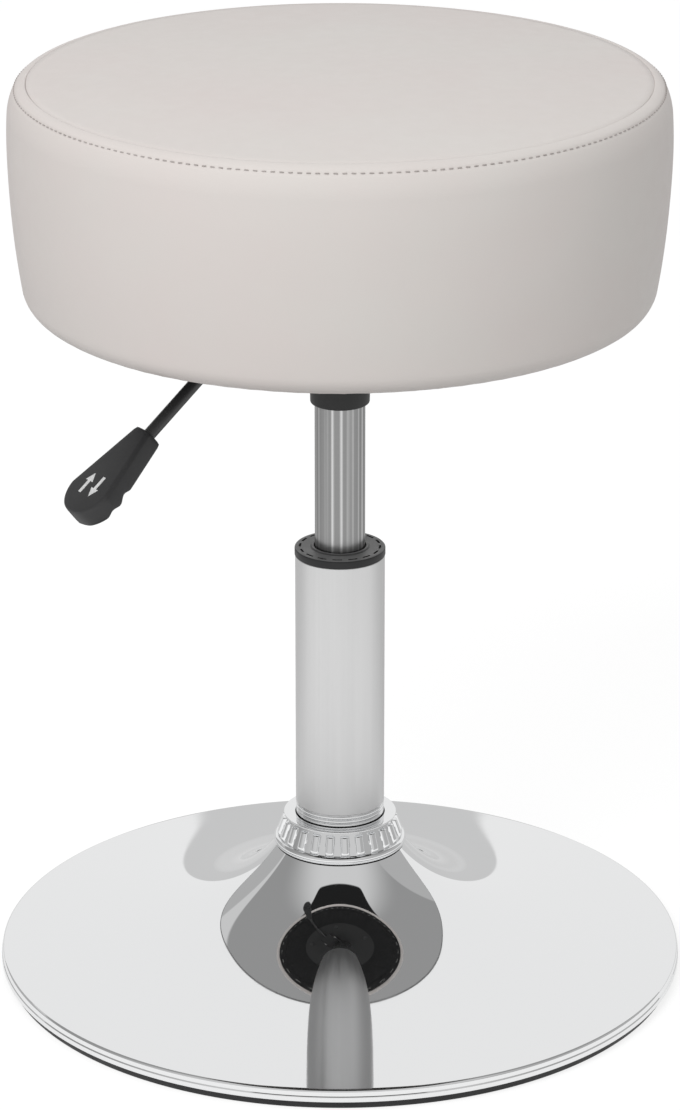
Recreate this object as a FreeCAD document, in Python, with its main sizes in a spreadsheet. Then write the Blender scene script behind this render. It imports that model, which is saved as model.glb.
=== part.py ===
# Round swivel stool on a gas lift: padded seat, lever, telescopic column and chrome trumpet base.
# Millimetres, +Z up. The origin is on the floor under the column's axis, and the lever points along +X.
import FreeCAD, Part
import Sketcher
import math
import os
import re

# Driving sizes: name, value and what it measures
SIZES = {
    # trumpet base
    "rim_radius": (194, "outer radius of the base"),
    "rim_height": (12, "height of the rim's top edge above the floor"),
    "rim_gap": (5, "height of the rim's lower edge above the floor"),
    "rim_round": (2, "rounding of the rim's top edge"),
    "cone_slope": (10.2, "slope of the outer cone in degrees"),
    "flare_start": (105.6, "radius where the cone turns into the flare"),
    "flare_radius": (107.7, "radius of the flare's hollow curve"),
    "throat_radius": (36.5, "outer radius of the flare's upper end"),
    "base_sheet": (1.5, "sheet thickness of the pressing"),
    # floor ring and closing plate
    "ring_clearance": (0.2, "play between the floor ring and the rim"),
    "ring_wall": (6, "thickness of the floor ring"),
    "ring_height": (9, "height of the floor ring"),
    "ring_draft": (1.3, "how far the ring draws in towards the floor"),
    "ring_ledge": (3, "height of the ledge that carries the plate"),
    "ledge_width": (3, "width of that ledge"),
    "plate_thick": (2.5, "thickness of the closing plate"),
    "plate_clearance": (0.3, "play between the closing plate and the ring"),
    "plate_hole": (20, "radius of the plate's middle hole"),
    # hub and its screws
    "hub_wall": (4, "wall of the hub's taper socket"),
    "hub_flange_radius": (46, "radius of the hub's foot"),
    "hub_flange": (4, "thickness of the hub's foot and collar"),
    "screw_circle": (37.5, "radius of the circle of base screws"),
    "screw_count": (4, "base screws"),
    "screw_radius": (3, "radius of a base screw"),
    "screw_head_radius": (5.5, "radius of its head"),
    "screw_head": (2.2, "height of its head"),
    "hole_clearance": (0.25, "radial play of a screw in its hole"),
    "press_clearance": (0.05, "play left round pressed, clipped and sewn pieces"),
    "thread_clearance": (0.05, "radial play of a screw in its thread"),
    # chrome collar
    "collar_clearance": (0.2, "gap between the collar and the base, and between collar and column"),
    "collar_height": (18.3, "height of the collar"),
    "collar_foot_radius": (37.5, "radius of the collar's foot bead"),
    "collar_foot": (4.5, "height of the foot bead"),
    "collar_lip_radius": (31.7, "radius of the collar's top edge"),
    "collar_lip": (1.2, "depth of the plain lip above the ribs"),
    "collar_step": (2.4, "how far the bead stands out from the ribbed band"),
    "collar_wall": (4, "wall of the collar's lip"),
    "rib_count": (24, "ribs round the collar"),
    "rib_width": (4.6, "width of a rib"),
    "rib_length": (11.2, "length of a rib"),
    # column
    "column_radius": (25, "outer radius of the column tube"),
    "column_wall": (1.5, "wall of the column tube"),
    "column_length": (238, "length of the column tube"),
    "column_gap": (2.5, "height of the column's foot above the closing plate"),
    "column_neck_radius": (24.5, "radius of the bare neck below the satin tube"),
    "column_foot_radius": (23.5, "radius of the taper at the column's foot"),
    "neck_show": (7, "bare neck that shows above the collar"),
    "neck_step": (1, "height of the shoulder above the neck"),
    "taper_clearance": (0.05, "radial play of a driven taper"),
    "floor_inset": (1, "how far the column's floor sits above its foot"),
    "floor_thick": (5, "thickness of the column's floor"),
    # guide bush
    "bush_flange": (4.5, "height of the bush's flange above the tube"),
    "bush_proud": (0.3, "how far the flange stands out over the tube"),
    "bush_sleeve": (70, "length of the bush inside the tube"),
    "bush_clearance": (0.25, "radial play of the stem in the bush"),
    "slot_count": (16, "slots in the flange's top"),
    "slot_circle": (21.7, "radius of the circle of slots"),
    "slot_length": (4.4, "length of a slot"),
    "slot_width": (1.2, "width of a slot"),
    "slot_depth": (1, "depth of a slot"),
    # thrust bearing, rod and damper
    "race_radius": (14, "radius of the bearing races"),
    "race_thick": (3, "thickness of a race"),
    "ball_diameter": (4, "diameter of a ball"),
    "ball_clearance": (0.1, "play above and below the balls"),
    "ball_circle": (10, "radius of the circle of balls"),
    "ball_count": (10, "balls in the cage"),
    "cage_thick": (2, "thickness of the ball cage"),
    "cage_rim": (1.2, "material between a ball and the cage's edge"),
    "pocket_clearance": (0.15, "play of a ball in its pocket"),
    "rod_radius": (5, "radius of the piston rod"),
    "rod_pin_radius": (4, "radius of the rod's lower pin"),
    "rod_clearance": (0.1, "radial play of the rod where it turns or slides"),
    "clip_thick": (1, "thickness of the rod's clip"),
    "clip_groove": (0.7, "depth of the clip's groove"),
    "clip_radius": (7.5, "radius of the clip"),
    "clip_washer": (1.2, "thickness of the washer above the clip"),
    "washer_radius": (9, "radius of that washer"),
    "rod_end": (1.5, "rod left below the clip"),
    "damper_radius": (13, "radius of the rubber damper"),
    "damper_height": (15.8, "height of the rubber damper"),
    # gas spring
    "lift_stroke": (130, "travel of the gas spring"),
    "rest_lift": (80, "height above the lowest position as modelled"),
    "stop_gap": (5, "gap left above the damper at the lowest position"),
    "rebound_gap": (8, "gap left under the piston at the highest position"),
    "stem_radius": (14, "radius of the cylinder"),
    "stem_wall": (2, "wall of the cylinder"),
    "stem_length": (246, "length of the cylinder"),
    "stem_top_radius": (13.4, "radius of the taper at the cylinder's top"),
    "stem_lip": (2, "thickness of the lip rolled in at the cylinder's foot"),
    "stem_lip_radius": (9, "inner radius of that lip"),
    "guide_length": (14, "length of the rod guide"),
    "seal_length": (6, "length of the rod seal"),
    "piston_length": (12, "length of the piston"),
    "piston_clearance": (0.3, "radial play of the piston in the cylinder"),
    "piston_ring_height": (3, "height of the piston ring"),
    "piston_ring_depth": (2, "depth of the ring's groove"),
    "piston_bore": (4, "radius of the rod's end in the piston"),
    "rivet_radius": (6.5, "radius of the rod's riveted head"),
    "rivet_height": (3, "height of the rod's riveted head"),
    "valve_length": (31, "length of the valve body"),
    "valve_seal_height": (2, "height of a valve seal"),
    "valve_seal_depth": (1.4, "depth of a valve seal's groove"),
    "valve_seal_inset": (6, "distance of a seal from the valve body's end"),
    "pin_radius": (4, "radius of the valve pin"),
    "pin_length": (13, "length of the pin's thick part"),
    "pin_stem_radius": (2.5, "radius of the pin's thin part"),
    "pin_stem_length": (19, "length of the pin's thin part"),
    "pin_dome": (0.8, "height of the dome on the pin"),
    "pin_clearance": (0.3, "gap between the pin and the lever's tongue, and round the pin"),
    "pin_travel": (6, "depth left under the pin's thick part"),
    # socket, housing and seat plate
    "socket_grip": (36, "length of the cylinder below its top that the socket reaches down"),
    "socket_radius": (17, "outer radius of the socket"),
    "socket_draft": (0.6, "how far the socket draws in at its foot"),
    "stem_proud": (3, "how far the cylinder stands out of the socket's top"),
    "housing_wall": (2.5, "wall of the lever housing"),
    "housing_width": (34, "outer width of the lever housing"),
    "housing_height": (23.5, "height of the lever housing"),
    "housing_back": (22, "reach of the housing behind the axis"),
    "housing_front": (50, "reach of the housing along the lever"),
    "mount_thick": (2.5, "thickness of the seat plate"),
    "mount_radius": (88, "radius of the seat plate"),
    "bolt_circle": (72, "radius of the circle of seat bolts"),
    "bolt_count": (4, "seat bolts"),
    "bolt_radius": (3, "radius of a seat bolt"),
    "bolt_head_radius": (5.2, "radius of a bolt's head"),
    "bolt_head": (4, "height of a bolt's head"),
    "bolt_washer_radius": (7, "radius of a bolt's washer"),
    "bolt_washer": (1.2, "thickness of a bolt's washer"),
    "nut_radius": (4.4, "radius of a threaded insert's barrel"),
    "nut_flange_radius": (9, "radius of a threaded insert's flange"),
    "nut_flange": (1.4, "thickness of that flange"),
    # lever
    "lever_lift": (9, "height of the lever's bar above the cylinder's top"),
    "lever_radius": (3.5, "radius of the lever's bar"),
    "pivot_arm": (30, "distance of the lever's pivot from the axis"),
    "pivot_radius": (3, "radius of the pivot pin"),
    "pivot_clearance": (0.1, "radial play of the lever on its pivot"),
    "pivot_proud": (2.5, "pivot pin that stands out of the housing on each side"),
    "pivot_head_radius": (5, "radius of the pivot pin's head and clip"),
    "pivot_head": (1.5, "thickness of the pivot pin's head and clip"),
    "bush_wall": (1, "wall of the lever's bush"),
    "eye_wall": (2.2, "wall of the lever's eye"),
    "eye_width": (20, "width of the lever's eye"),
    "tongue_thick": (4, "thickness of the lever's tongue"),
    "tongue_width": (12, "width of the lever's tongue"),
    "tongue_past": (6, "reach of the tongue past the axis"),
    "lever_reach": (74.6, "distance of the lever's bend from the axis"),
    "lever_drop": (38.3, "slope of the lever's lower run in degrees"),
    "bend_radius": (22, "radius of the lever's bend"),
    "lever_run": (64, "length from the bend to the grip"),
    "grip_depth": (34, "depth of the bar in the grip"),
    "grip_clearance": (0.05, "radial play of the bar in the grip"),
    "grip_length": (60, "length of the grip"),
    "grip_straight": (44, "length of the grip's flared sides"),
    "grip_neck": (13, "width of the grip at the bar"),
    "grip_width": (34.5, "greatest width of the grip"),
    "grip_thick": (12.5, "thickness of the grip"),
    "scallop_start": (35, "distance of the first finger scallop from the grip's neck"),
    "scallop_pitch": (10, "distance between the finger scallops"),
    "scallop_radius": (6.2, "radius of a finger scallop"),
    "scallop_depth": (1.9, "depth of a finger scallop"),
    # padded seat
    "seat_radius": (179, "greatest radius of the seat"),
    "seat_depth": (124.3, "height of the seat's top seam above its underside"),
    "seat_crown": (5.5, "height of the crown above the top seam"),
    "seam_inset": (10.8, "how far the top seam lies inside the greatest radius"),
    "shoulder_inset": (0.7, "how far the shoulder lies inside the greatest radius"),
    "shoulder_drop": (18, "height of the rounded shoulder"),
    "shoulder_radius": (21, "rounding of the shoulder"),
    "belly_height": (88, "height of the greatest radius above the underside"),
    "belly_radius": (500, "curve of the side below the greatest radius"),
    "flank_radius": (700, "curve of the side above the greatest radius"),
    "roll_inset": (6.6, "how far the lower roll lies inside the greatest radius"),
    "roll_height": (10.5, "height of the lower roll"),
    "roll_radius": (12, "rounding of the lower roll"),
    "foot_inset": (19.4, "how far the flat underside lies inside the greatest radius"),
    "hem_width": (13, "width of the cover's hem under the board"),
    "cover_skin": (1.2, "thickness of the cover"),
    "foam_clearance": (0.3, "gap between the foam and the cover or board"),
    "board_inset": (24, "how far the board's edge lies inside the greatest radius"),
    "board_thick": (12, "thickness of the board"),
    "dust_thick": (0.6, "thickness of the dust cover where it laps the hem"),
    "dust_lap": (2, "width of the dust cover's step beside the hem"),
    "dust_edge": (3, "how far the dust cover's edge stays inside the flat underside"),
    "staple_count": (36, "staples round the hem"),
    "staple_length": (10, "length of a staple's back"),
    "staple_wire": (0.7, "thickness of a staple's wire"),
    "staple_inset": (6, "distance of the staples from the hem's inner edge"),
}

# Places worked out from the sizes
LEVELS = {
    "ring_outer": "rim_radius - base_sheet - ring_clearance",
    "ring_inner": "ring_outer - ring_wall",
    "plate_top": "ring_ledge + plate_thick",
    "cone_edge": "rim_radius - rim_round",
    "flare_height": "rim_height + (cone_edge - flare_start) * tan(cone_slope)",
    "flare_out": "flare_start + flare_radius * sin(cone_slope)",
    "flare_up": "flare_height + flare_radius * cos(cone_slope)",
    "under_start": "flare_start - base_sheet * sin(cone_slope)",
    "under_height": "flare_height - base_sheet * cos(cone_slope)",
    "throat_sine": "(flare_out - throat_radius) / flare_radius",
    "throat_cosine": "sqrt(1 - throat_sine ^ 2)",
    "throat_top": "flare_up - flare_radius * throat_cosine",
    "throat_inner": "flare_out - (flare_radius + base_sheet) * throat_sine",
    "throat_under": "flare_up - (flare_radius + base_sheet) * throat_cosine",
    "hub_top": "throat_under - collar_clearance",
    "hub_radius": "column_neck_radius + taper_clearance + hub_wall",
    "collar_bottom": "throat_top + collar_clearance",
    "collar_top": "collar_bottom + collar_height",
    "band_foot": "collar_foot_radius - collar_step",
    "neck_top": "collar_top + neck_show",
    "column_bottom": "plate_top + column_gap",
    "column_top": "column_bottom + column_length",
    "column_bore": "column_radius - column_wall",
    "bush_top": "column_top + bush_flange",
    "floor_bottom": "column_bottom + floor_inset",
    "floor_top": "floor_bottom + floor_thick",
    "lower_race_top": "floor_top + race_thick",
    "ball_middle": "lower_race_top + ball_clearance + ball_diameter / 2",
    "upper_race": "lower_race_top + 2 * ball_clearance + ball_diameter",
    "upper_race_top": "upper_race + race_thick",
    "washer_top": "floor_bottom - ball_clearance",
    "clip_top": "washer_top - clip_washer",
    "clip_bottom": "clip_top - clip_thick",
    "rod_bottom": "clip_bottom - rod_end",
    "damper_top": "upper_race_top + damper_height",
    "stem_lowest": "damper_top + stop_gap",
    "stem_bottom": "stem_lowest + rest_lift",
    "stem_top": "stem_bottom + stem_length",
    "stem_bore": "stem_radius - stem_wall",
    "guide_bottom": "stem_bottom + stem_lip",
    "seal_bottom": "guide_bottom + guide_length",
    "seal_top": "seal_bottom + seal_length",
    "piston_bottom": "stem_lowest + lift_stroke + stem_lip + guide_length + seal_length + rebound_gap",
    "piston_top": "piston_bottom + piston_length",
    "piston_ring": "piston_bottom + (piston_length - piston_ring_height) / 2",
    "valve_bottom": "stem_top - valve_length",
    "lever_height": "stem_top + lever_lift",
    "pin_top": "lever_height - tongue_thick / 2 - pin_clearance",
    "pin_bottom": "pin_top - pin_length",
    "pin_seat": "pin_bottom - pin_travel",
    "socket_bottom": "stem_top - socket_grip",
    "socket_top": "stem_top - stem_proud",
    "taper_per_rise": "(stem_radius - stem_top_radius) / socket_grip",
    "web_top": "socket_top + housing_wall",
    "mount_bottom": "socket_top + housing_height",
    "seat_bottom": "mount_bottom + mount_thick",
    "hem_top": "seat_bottom + cover_skin",
    "board_top": "hem_top + board_thick",
    "bolt_bottom": "mount_bottom - bolt_washer",
    "foot_radius": "seat_radius - foot_inset",
    "roll_out": "seat_radius - roll_inset",
    "roll_up": "seat_bottom + roll_height",
    "belly_up": "seat_bottom + belly_height",
    "seam_radius": "seat_radius - seam_inset",
    "seam_up": "seat_bottom + seat_depth",
    "shoulder_out": "seat_radius - shoulder_inset",
    "shoulder_up": "seam_up - shoulder_drop",
    "seat_top": "seam_up + seat_crown",
    "panel_edge": "seam_radius - press_clearance",
    "panel_under": "panel_edge - cover_skin / 2",
    "foam_skin": "cover_skin + foam_clearance",
    "foam_edge": "seam_radius - foam_skin / 2",
    "board_radius": "seat_radius - board_inset",
    "hem_inner": "foot_radius - hem_width",
    "dust_bottom": "seat_bottom - dust_thick",
    "bush_radius": "pivot_radius + pivot_clearance + bush_wall",
    "eye_radius": "bush_radius + pivot_clearance + eye_wall",
    "bend_leg": "bend_radius * tan(lever_drop / 2)",
    "bar_end": "lever_run + grip_depth",
    "grip_nose": "grip_length - grip_straight",
    "grip_end": "(grip_width ^ 2 / 4 + grip_nose ^ 2) / (2 * grip_nose)",
}

doc = FreeCAD.newDocument("swivel_stool")
sheet = doc.addObject("Spreadsheet::Sheet", "sizes")
for row, (alias, (size, meaning)) in enumerate(SIZES.items(), 1):
    sheet.set("A%d" % row, meaning)
    sheet.set("B%d" % row, str(size))
    sheet.setAlias("B%d" % row, alias)
doc.recompute()

pieces = []


def formula(text):
    """Expression over the sheet in which every level is written out."""
    def write_out(match):
        word = match.group()
        if word in LEVELS:
            return "(" + formula(LEVELS[word]) + ")"
        return "sizes." + word if word in SIZES else word
    return re.sub(r"[a-z_]+", write_out, text)


def bind(item, target, text):
    """Tie one property of a document object to the sheet."""
    item.setExpression(target, formula(text))


def number(item, text):
    """Present value of a formula."""
    result = item.evalExpression(formula(text))
    return float(getattr(result, "Value", result))


def keep(piece):
    """Hand in this object as a sub-part under its label."""
    pieces.append(piece)
    return piece


def new_body(label):
    """Empty body that may hold several separate solids."""
    body = doc.addObject("PartDesign::Body", label)
    body.Label = label
    body.AllowCompound = True
    return body


def origin_part(body, role):
    """Plane or axis of a body's own origin."""
    return next(feature for feature in body.Origin.OriginFeatures if feature.Role == role)


def new_sketch(body, name, plane, shift=None, tilt=None):
    """Sketch on an origin plane, moved within it by formulas and turned by an angle formula."""
    sketch = body.newObject("Sketcher::SketchObject", name)
    sketch.AttachmentSupport = [(origin_part(body, plane), "")]
    sketch.MapMode = "FlatFace"
    if tilt:
        axis, text = tilt
        sketch.AttachmentOffset = FreeCAD.Placement(FreeCAD.Vector(), FreeCAD.Rotation(axis, 1))
        sketch.setExpression("AttachmentOffset.Rotation.Angle", "(%s) * 1 deg" % formula(text))
    for direction, text in (shift or {}).items():
        bind(sketch, "AttachmentOffset.Base." + direction, text)
    return sketch


def hold(sketch, kind, edge, point, text, present):
    """Constrain one coordinate of a sketch point to a formula."""
    if text == "0":
        axis = -2 if kind == "DistanceX" else -1
        sketch.addConstraint(Sketcher.Constraint("PointOnObject", edge, point, axis))
        return
    index = sketch.addConstraint(Sketcher.Constraint(kind, -1, 1, edge, point, present))
    bind(sketch, "Constraints[%d]" % index, text)


def draw_outline(sketch, outline, closed=True):
    """Outline of corners (across, up), each with an optional arc radius for the way to the next corner.

    A positive radius turns left along the walk, a negative one turns right.
    """
    corners = [FreeCAD.Vector(number(sketch, entry[0]), number(sketch, entry[1])) for entry in outline]
    count = len(outline) if closed else len(outline) - 1
    first, last = [], []
    for i in range(count):
        start, end = corners[i], corners[(i + 1) % len(corners)]
        if len(outline[i]) == 2:
            sketch.addGeometry(Part.LineSegment(start, end))
            first.append(1)
            last.append(2)
            continue
        radius = number(sketch, outline[i][2])
        chord = end - start
        rise = math.sqrt(radius ** 2 - chord.Length ** 2 / 4)
        left = FreeCAD.Vector(-chord.y, chord.x).normalize()
        centre = (start + end) / 2 + left * math.copysign(rise, radius)
        ends = (start, end) if radius > 0 else (end, start)
        angles = [math.atan2(point.y - centre.y, point.x - centre.x) for point in ends]
        circle = Part.Circle(centre, FreeCAD.Vector(0, 0, 1), abs(radius))
        sketch.addGeometry(Part.ArcOfCircle(circle, *angles))
        first.append(1 if radius > 0 else 2)
        last.append(2 if radius > 0 else 1)
    for i in range(count if closed else count - 1):
        after = (i + 1) % count
        sketch.addConstraint(Sketcher.Constraint("Coincident", i, last[i], after, first[after]))
    for i, entry in enumerate(outline):
        edge, point = (i, first[i]) if i < count else (count - 1, last[count - 1])
        hold(sketch, "DistanceX", edge, point, entry[0], corners[i].x)
        hold(sketch, "DistanceY", edge, point, entry[1], corners[i].y)
        if i < count and len(entry) == 3:
            index = sketch.addConstraint(Sketcher.Constraint("Radius", i, abs(number(sketch, entry[2]))))
            bind(sketch, "Constraints[%d]" % index, "abs(%s)" % entry[2])


def draw_circle(sketch, across, up, radius):
    """Circle with its centre and radius tied to formulas."""
    centre = FreeCAD.Vector(number(sketch, across), number(sketch, up))
    edge = sketch.addGeometry(Part.Circle(centre, FreeCAD.Vector(0, 0, 1), number(sketch, radius)))
    hold(sketch, "DistanceX", edge, 3, across, centre.x)
    hold(sketch, "DistanceY", edge, 3, up, centre.y)
    index = sketch.addConstraint(Sketcher.Constraint("Radius", edge, number(sketch, radius)))
    bind(sketch, "Constraints[%d]" % index, radius)


def crown(edge):
    """Radius of a cap that rises by the seat's crown from a round edge to the axis."""
    return "((%s) ^ 2 + seat_crown ^ 2) / (2 * seat_crown)" % edge


def turn(body, name, sketch, axis="V_Axis", kind="Revolution"):
    """Full turn of a sketch about one of its own axes."""
    feature = body.newObject("PartDesign::" + kind, name)
    feature.Profile = sketch
    feature.ReferenceAxis = (sketch, [axis])
    feature.Angle = 360
    return feature


def repeat(body, name, features, count):
    """Copies of features round the column's axis."""
    pattern = body.newObject("PartDesign::PolarPattern", name)
    pattern.Originals = features
    pattern.Axis = (origin_part(body, "Z_Axis"), [""])
    pattern.Angle = 360
    bind(pattern, "Occurrences", count)
    body.Tip = pattern


def turned(label, outline):
    """Body turned about the column's axis."""
    body = new_body(label)
    sketch = new_sketch(body, label + "_profile", "XZ_Plane")
    draw_outline(sketch, outline)
    turn(body, label + "_turn", sketch)
    return body


def turned_ring(label, outline, circle, count, half_step=False):
    """Equal turned pieces in a circle round the column's axis; half a step on, none lies over the lever."""
    body = new_body(label)
    sketch = new_sketch(body, label + "_profile", "XZ_Plane", {"x": circle})
    draw_outline(sketch, outline)
    feature = turn(body, label + "_turn", sketch)
    repeat(body, label + "_round", [feature], count)
    if half_step:
        body.Placement = FreeCAD.Placement(FreeCAD.Vector(), FreeCAD.Rotation(FreeCAD.Vector(0, 0, 1), 1))
        body.setExpression("Placement.Rotation.Angle", "180 deg / (%s)" % formula(count))
    return body


def ring(label, inner, outer, bottom, top):
    """Plain turned ring."""
    return turned(label, [(inner, bottom), (outer, bottom), (outer, top), (inner, top)])


def primitive(kind, label, place, lengths, across=False):
    """Part primitive with its sizes and place tied to formulas; across lays its axis along Y."""
    item = doc.addObject("Part::" + kind, label)
    item.Label = label
    if across:
        item.Placement = FreeCAD.Placement(FreeCAD.Vector(), FreeCAD.Rotation(FreeCAD.Vector(1, 0, 0), -90))
    for name, text in lengths.items():
        bind(item, name, text)
    for direction, text in place.items():
        bind(item, "Placement.Base." + direction, text)
    return item


def crossways(label, radius, width, across="pivot_arm", up="lever_height"):
    """Cylinder lying across the lever, centred on its plane."""
    place = {"x": across, "y": "-(%s) / 2" % width, "z": up}
    return primitive("Cylinder", label, place, {"Radius": radius, "Height": width}, across=True)


def fuse(label, shapes):
    """Union of several objects."""
    item = doc.addObject("Part::MultiFuse", label)
    item.Label = label
    item.Shapes = shapes
    return item


def cut(label, base, tools):
    """One object with others taken out of it."""
    item = doc.addObject("Part::Cut", label)
    item.Label = label
    item.Base = base
    item.Tool = tools[0] if len(tools) == 1 else fuse(label + "_tools", tools)
    return item


# Chrome trumpet base: a pressed cone that flares up to the throat, with a rolled rim
keep(turned("trumpet_base", [
    ("throat_radius", "throat_top", "flare_radius"),
    ("flare_start", "flare_height"),
    ("cone_edge", "rim_height", "-rim_round"),
    ("rim_radius", "rim_height - rim_round"),
    ("rim_radius", "rim_gap"),
    ("rim_radius - base_sheet", "rim_gap"),
    ("rim_radius - base_sheet",
     "under_height - (rim_radius - base_sheet - under_start) * tan(cone_slope)"),
    ("under_start", "under_height", "-(flare_radius + base_sheet)"),
    ("throat_inner", "throat_under"),
]))

# Black floor ring under the rim, with a ledge for the closing plate
keep(turned("floor_ring", [
    ("ring_outer - ring_draft", "0"),
    ("ring_outer", "rim_gap"),
    ("ring_outer", "ring_height"),
    ("ring_inner", "ring_height"),
    ("ring_inner", "ring_ledge"),
    ("ring_inner - ledge_width", "ring_ledge"),
    ("ring_inner - ledge_width", "0"),
]))


def base_screws(label, shank, top):
    """Shanks of the base screws, from the plate's underside up."""
    outline = [("0", "ring_ledge"), (shank, "ring_ledge"), (shank, top), ("0", top)]
    return turned_ring(label, outline, "screw_circle", "screw_count")


# Steel plate that closes and weights the base
plate_blank = ring("base_plate_blank", "plate_hole", "ring_inner - plate_clearance",
                   "ring_ledge", "plate_top")
plate_holes = base_screws("base_plate_holes", "screw_radius + hole_clearance", "plate_top")
keep(cut("base_plate", plate_blank, [plate_holes]))

# Hub: taper socket for the column, screwed to the plate and holding the throat with its upper collar
hub_blank = turned("base_hub_blank", [
    ("column_foot_radius + taper_clearance", "plate_top"),
    ("hub_flange_radius", "plate_top"),
    ("hub_flange_radius", "plate_top + hub_flange"),
    ("hub_radius", "plate_top + hub_flange"),
    ("hub_radius", "hub_top - hub_flange"),
    ("throat_inner - collar_clearance", "hub_top - hub_flange"),
    ("throat_inner - collar_clearance", "hub_top"),
    ("column_neck_radius + taper_clearance", "hub_top"),
    ("column_foot_radius + taper_clearance", "column_bottom"),
])
hub_threads = base_screws("base_hub_threads", "screw_radius + thread_clearance", "plate_top + hub_flange")
keep(cut("base_hub", hub_blank, [hub_threads]))

# Screws that hold plate and hub together
keep(turned_ring("base_screws", [
    ("0", "ring_ledge - screw_head"),
    ("screw_head_radius", "ring_ledge - screw_head"),
    ("screw_head_radius", "ring_ledge"),
    ("screw_radius", "ring_ledge"),
    ("screw_radius", "plate_top + hub_flange"),
    ("0", "plate_top + hub_flange"),
], "screw_circle", "screw_count"))

# Chrome collar: a tapered band between a top lip and a foot bead, with upright ribs
collar = keep(turned("chrome_collar", [
    ("column_neck_radius + collar_clearance", "collar_top"),
    ("column_neck_radius + collar_clearance", "collar_top - collar_lip"),
    ("collar_lip_radius - collar_wall", "collar_top - collar_lip"),
    ("collar_lip_radius - collar_wall", "collar_bottom"),
    ("collar_foot_radius", "collar_bottom", "collar_foot"),
    ("collar_foot_radius", "collar_bottom + collar_foot"),
    ("band_foot", "collar_bottom + collar_foot"),
    ("collar_lip_radius", "collar_top - collar_lip"),
    ("collar_lip_radius", "collar_top"),
]))
rib = new_sketch(collar, "collar_rib", "XZ_Plane", {
    "x": "(band_foot + collar_lip_radius) / 2",
    "y": "(collar_bottom + collar_foot + collar_top - collar_lip) / 2",
}, (FreeCAD.Vector(0, 0, 1),
    "atan((band_foot - collar_lip_radius) / (collar_height - collar_foot - collar_lip))"))
draw_outline(rib, [
    ("0", "-rib_length / 2", "rib_width / 2"),
    ("rib_width / 2", "(rib_width - rib_length) / 2"),
    ("rib_width / 2", "(rib_length - rib_width) / 2", "rib_width / 2"),
    ("0", "rib_length / 2"),
])
repeat(collar, "collar_ribs", [turn(collar, "collar_rib_turn", rib)], "rib_count")

# Column: satin tube with a bare neck and a taper that sits in the hub
keep(turned("column_tube", [
    ("column_radius", "column_top"),
    ("column_bore", "column_top"),
    ("column_bore", "neck_top"),
    ("column_neck_radius - column_wall", "neck_top - neck_step"),
    ("column_neck_radius - column_wall", "hub_top"),
    ("column_foot_radius - column_wall", "column_bottom"),
    ("column_foot_radius", "column_bottom"),
    ("column_neck_radius", "hub_top"),
    ("column_neck_radius", "neck_top - neck_step"),
    ("column_radius", "neck_top"),
]))
keep(ring("column_floor", "rod_pin_radius + rod_clearance",
          "column_foot_radius - column_wall - taper_clearance", "floor_bottom", "floor_top"))

# Guide bush: black plastic sleeve in the tube with a slotted flange on top of it
bush = keep(turned("guide_bush", [
    ("stem_radius + bush_clearance", "bush_top"),
    ("stem_radius + bush_clearance", "column_top - bush_sleeve"),
    ("column_bore - taper_clearance", "column_top - bush_sleeve"),
    ("column_bore - taper_clearance", "column_top"),
    ("column_radius + bush_proud", "column_top"),
    ("column_radius + bush_proud", "bush_top"),
]))
slot = new_sketch(bush, "bush_slot", "XY_Plane", {"z": "bush_top"})
draw_outline(slot, [
    ("slot_circle - slot_width / 2", "-slot_length / 2"),
    ("slot_circle + slot_width / 2", "-slot_length / 2"),
    ("slot_circle + slot_width / 2", "slot_length / 2"),
    ("slot_circle - slot_width / 2", "slot_length / 2"),
])
slot_pocket = bush.newObject("PartDesign::Pocket", "bush_slot_pocket")
slot_pocket.Profile = slot
bind(slot_pocket, "Length", "slot_depth")
repeat(bush, "bush_slots", [slot_pocket], "slot_count")

# Thrust bearing of the swivel: two races, a cage and its balls
keep(ring("bearing_lower_race", "rod_pin_radius + rod_clearance", "race_radius",
          "floor_top", "lower_race_top"))
keep(ring("bearing_upper_race", "rod_pin_radius + press_clearance", "race_radius",
          "upper_race", "upper_race_top"))
cage_blank = ring("bearing_cage_blank", "ball_circle - ball_diameter / 2 - cage_rim",
                  "ball_circle + ball_diameter / 2 + cage_rim",
                  "ball_middle - cage_thick / 2", "ball_middle + cage_thick / 2")
cage_pockets = turned_ring("bearing_cage_pockets", [
    ("0", "ball_middle - cage_thick / 2"),
    ("ball_diameter / 2 + pocket_clearance", "ball_middle - cage_thick / 2"),
    ("ball_diameter / 2 + pocket_clearance", "ball_middle + cage_thick / 2"),
    ("0", "ball_middle + cage_thick / 2"),
], "ball_circle", "ball_count")
keep(cut("bearing_cage", cage_blank, [cage_pockets]))
keep(turned_ring("bearing_balls", [
    ("0", "ball_middle - ball_diameter / 2", "ball_diameter / 2"),
    ("ball_diameter / 2", "ball_middle", "ball_diameter / 2"),
    ("0", "ball_middle + ball_diameter / 2"),
], "ball_circle", "ball_count"))

# Piston rod: stands on the upper race, held down by a clip under the column's floor
keep(turned("piston_rod", [
    ("0", "rod_bottom"),
    ("rod_pin_radius", "rod_bottom"),
    ("rod_pin_radius", "clip_bottom"),
    ("rod_pin_radius - clip_groove", "clip_bottom"),
    ("rod_pin_radius - clip_groove", "clip_top"),
    ("rod_pin_radius", "clip_top"),
    ("rod_pin_radius", "upper_race_top"),
    ("rod_radius", "upper_race_top"),
    ("rod_radius", "piston_bottom"),
    ("piston_bore", "piston_bottom"),
    ("piston_bore", "piston_top"),
    ("rivet_radius", "piston_top"),
    ("rivet_radius", "piston_top + rivet_height"),
    ("0", "piston_top + rivet_height"),
]))
keep(ring("clip_washer", "rod_pin_radius + press_clearance", "washer_radius", "clip_top", "washer_top"))
keep(ring("rod_clip", "rod_pin_radius - clip_groove + press_clearance", "clip_radius",
          "clip_bottom", "clip_top"))
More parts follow.
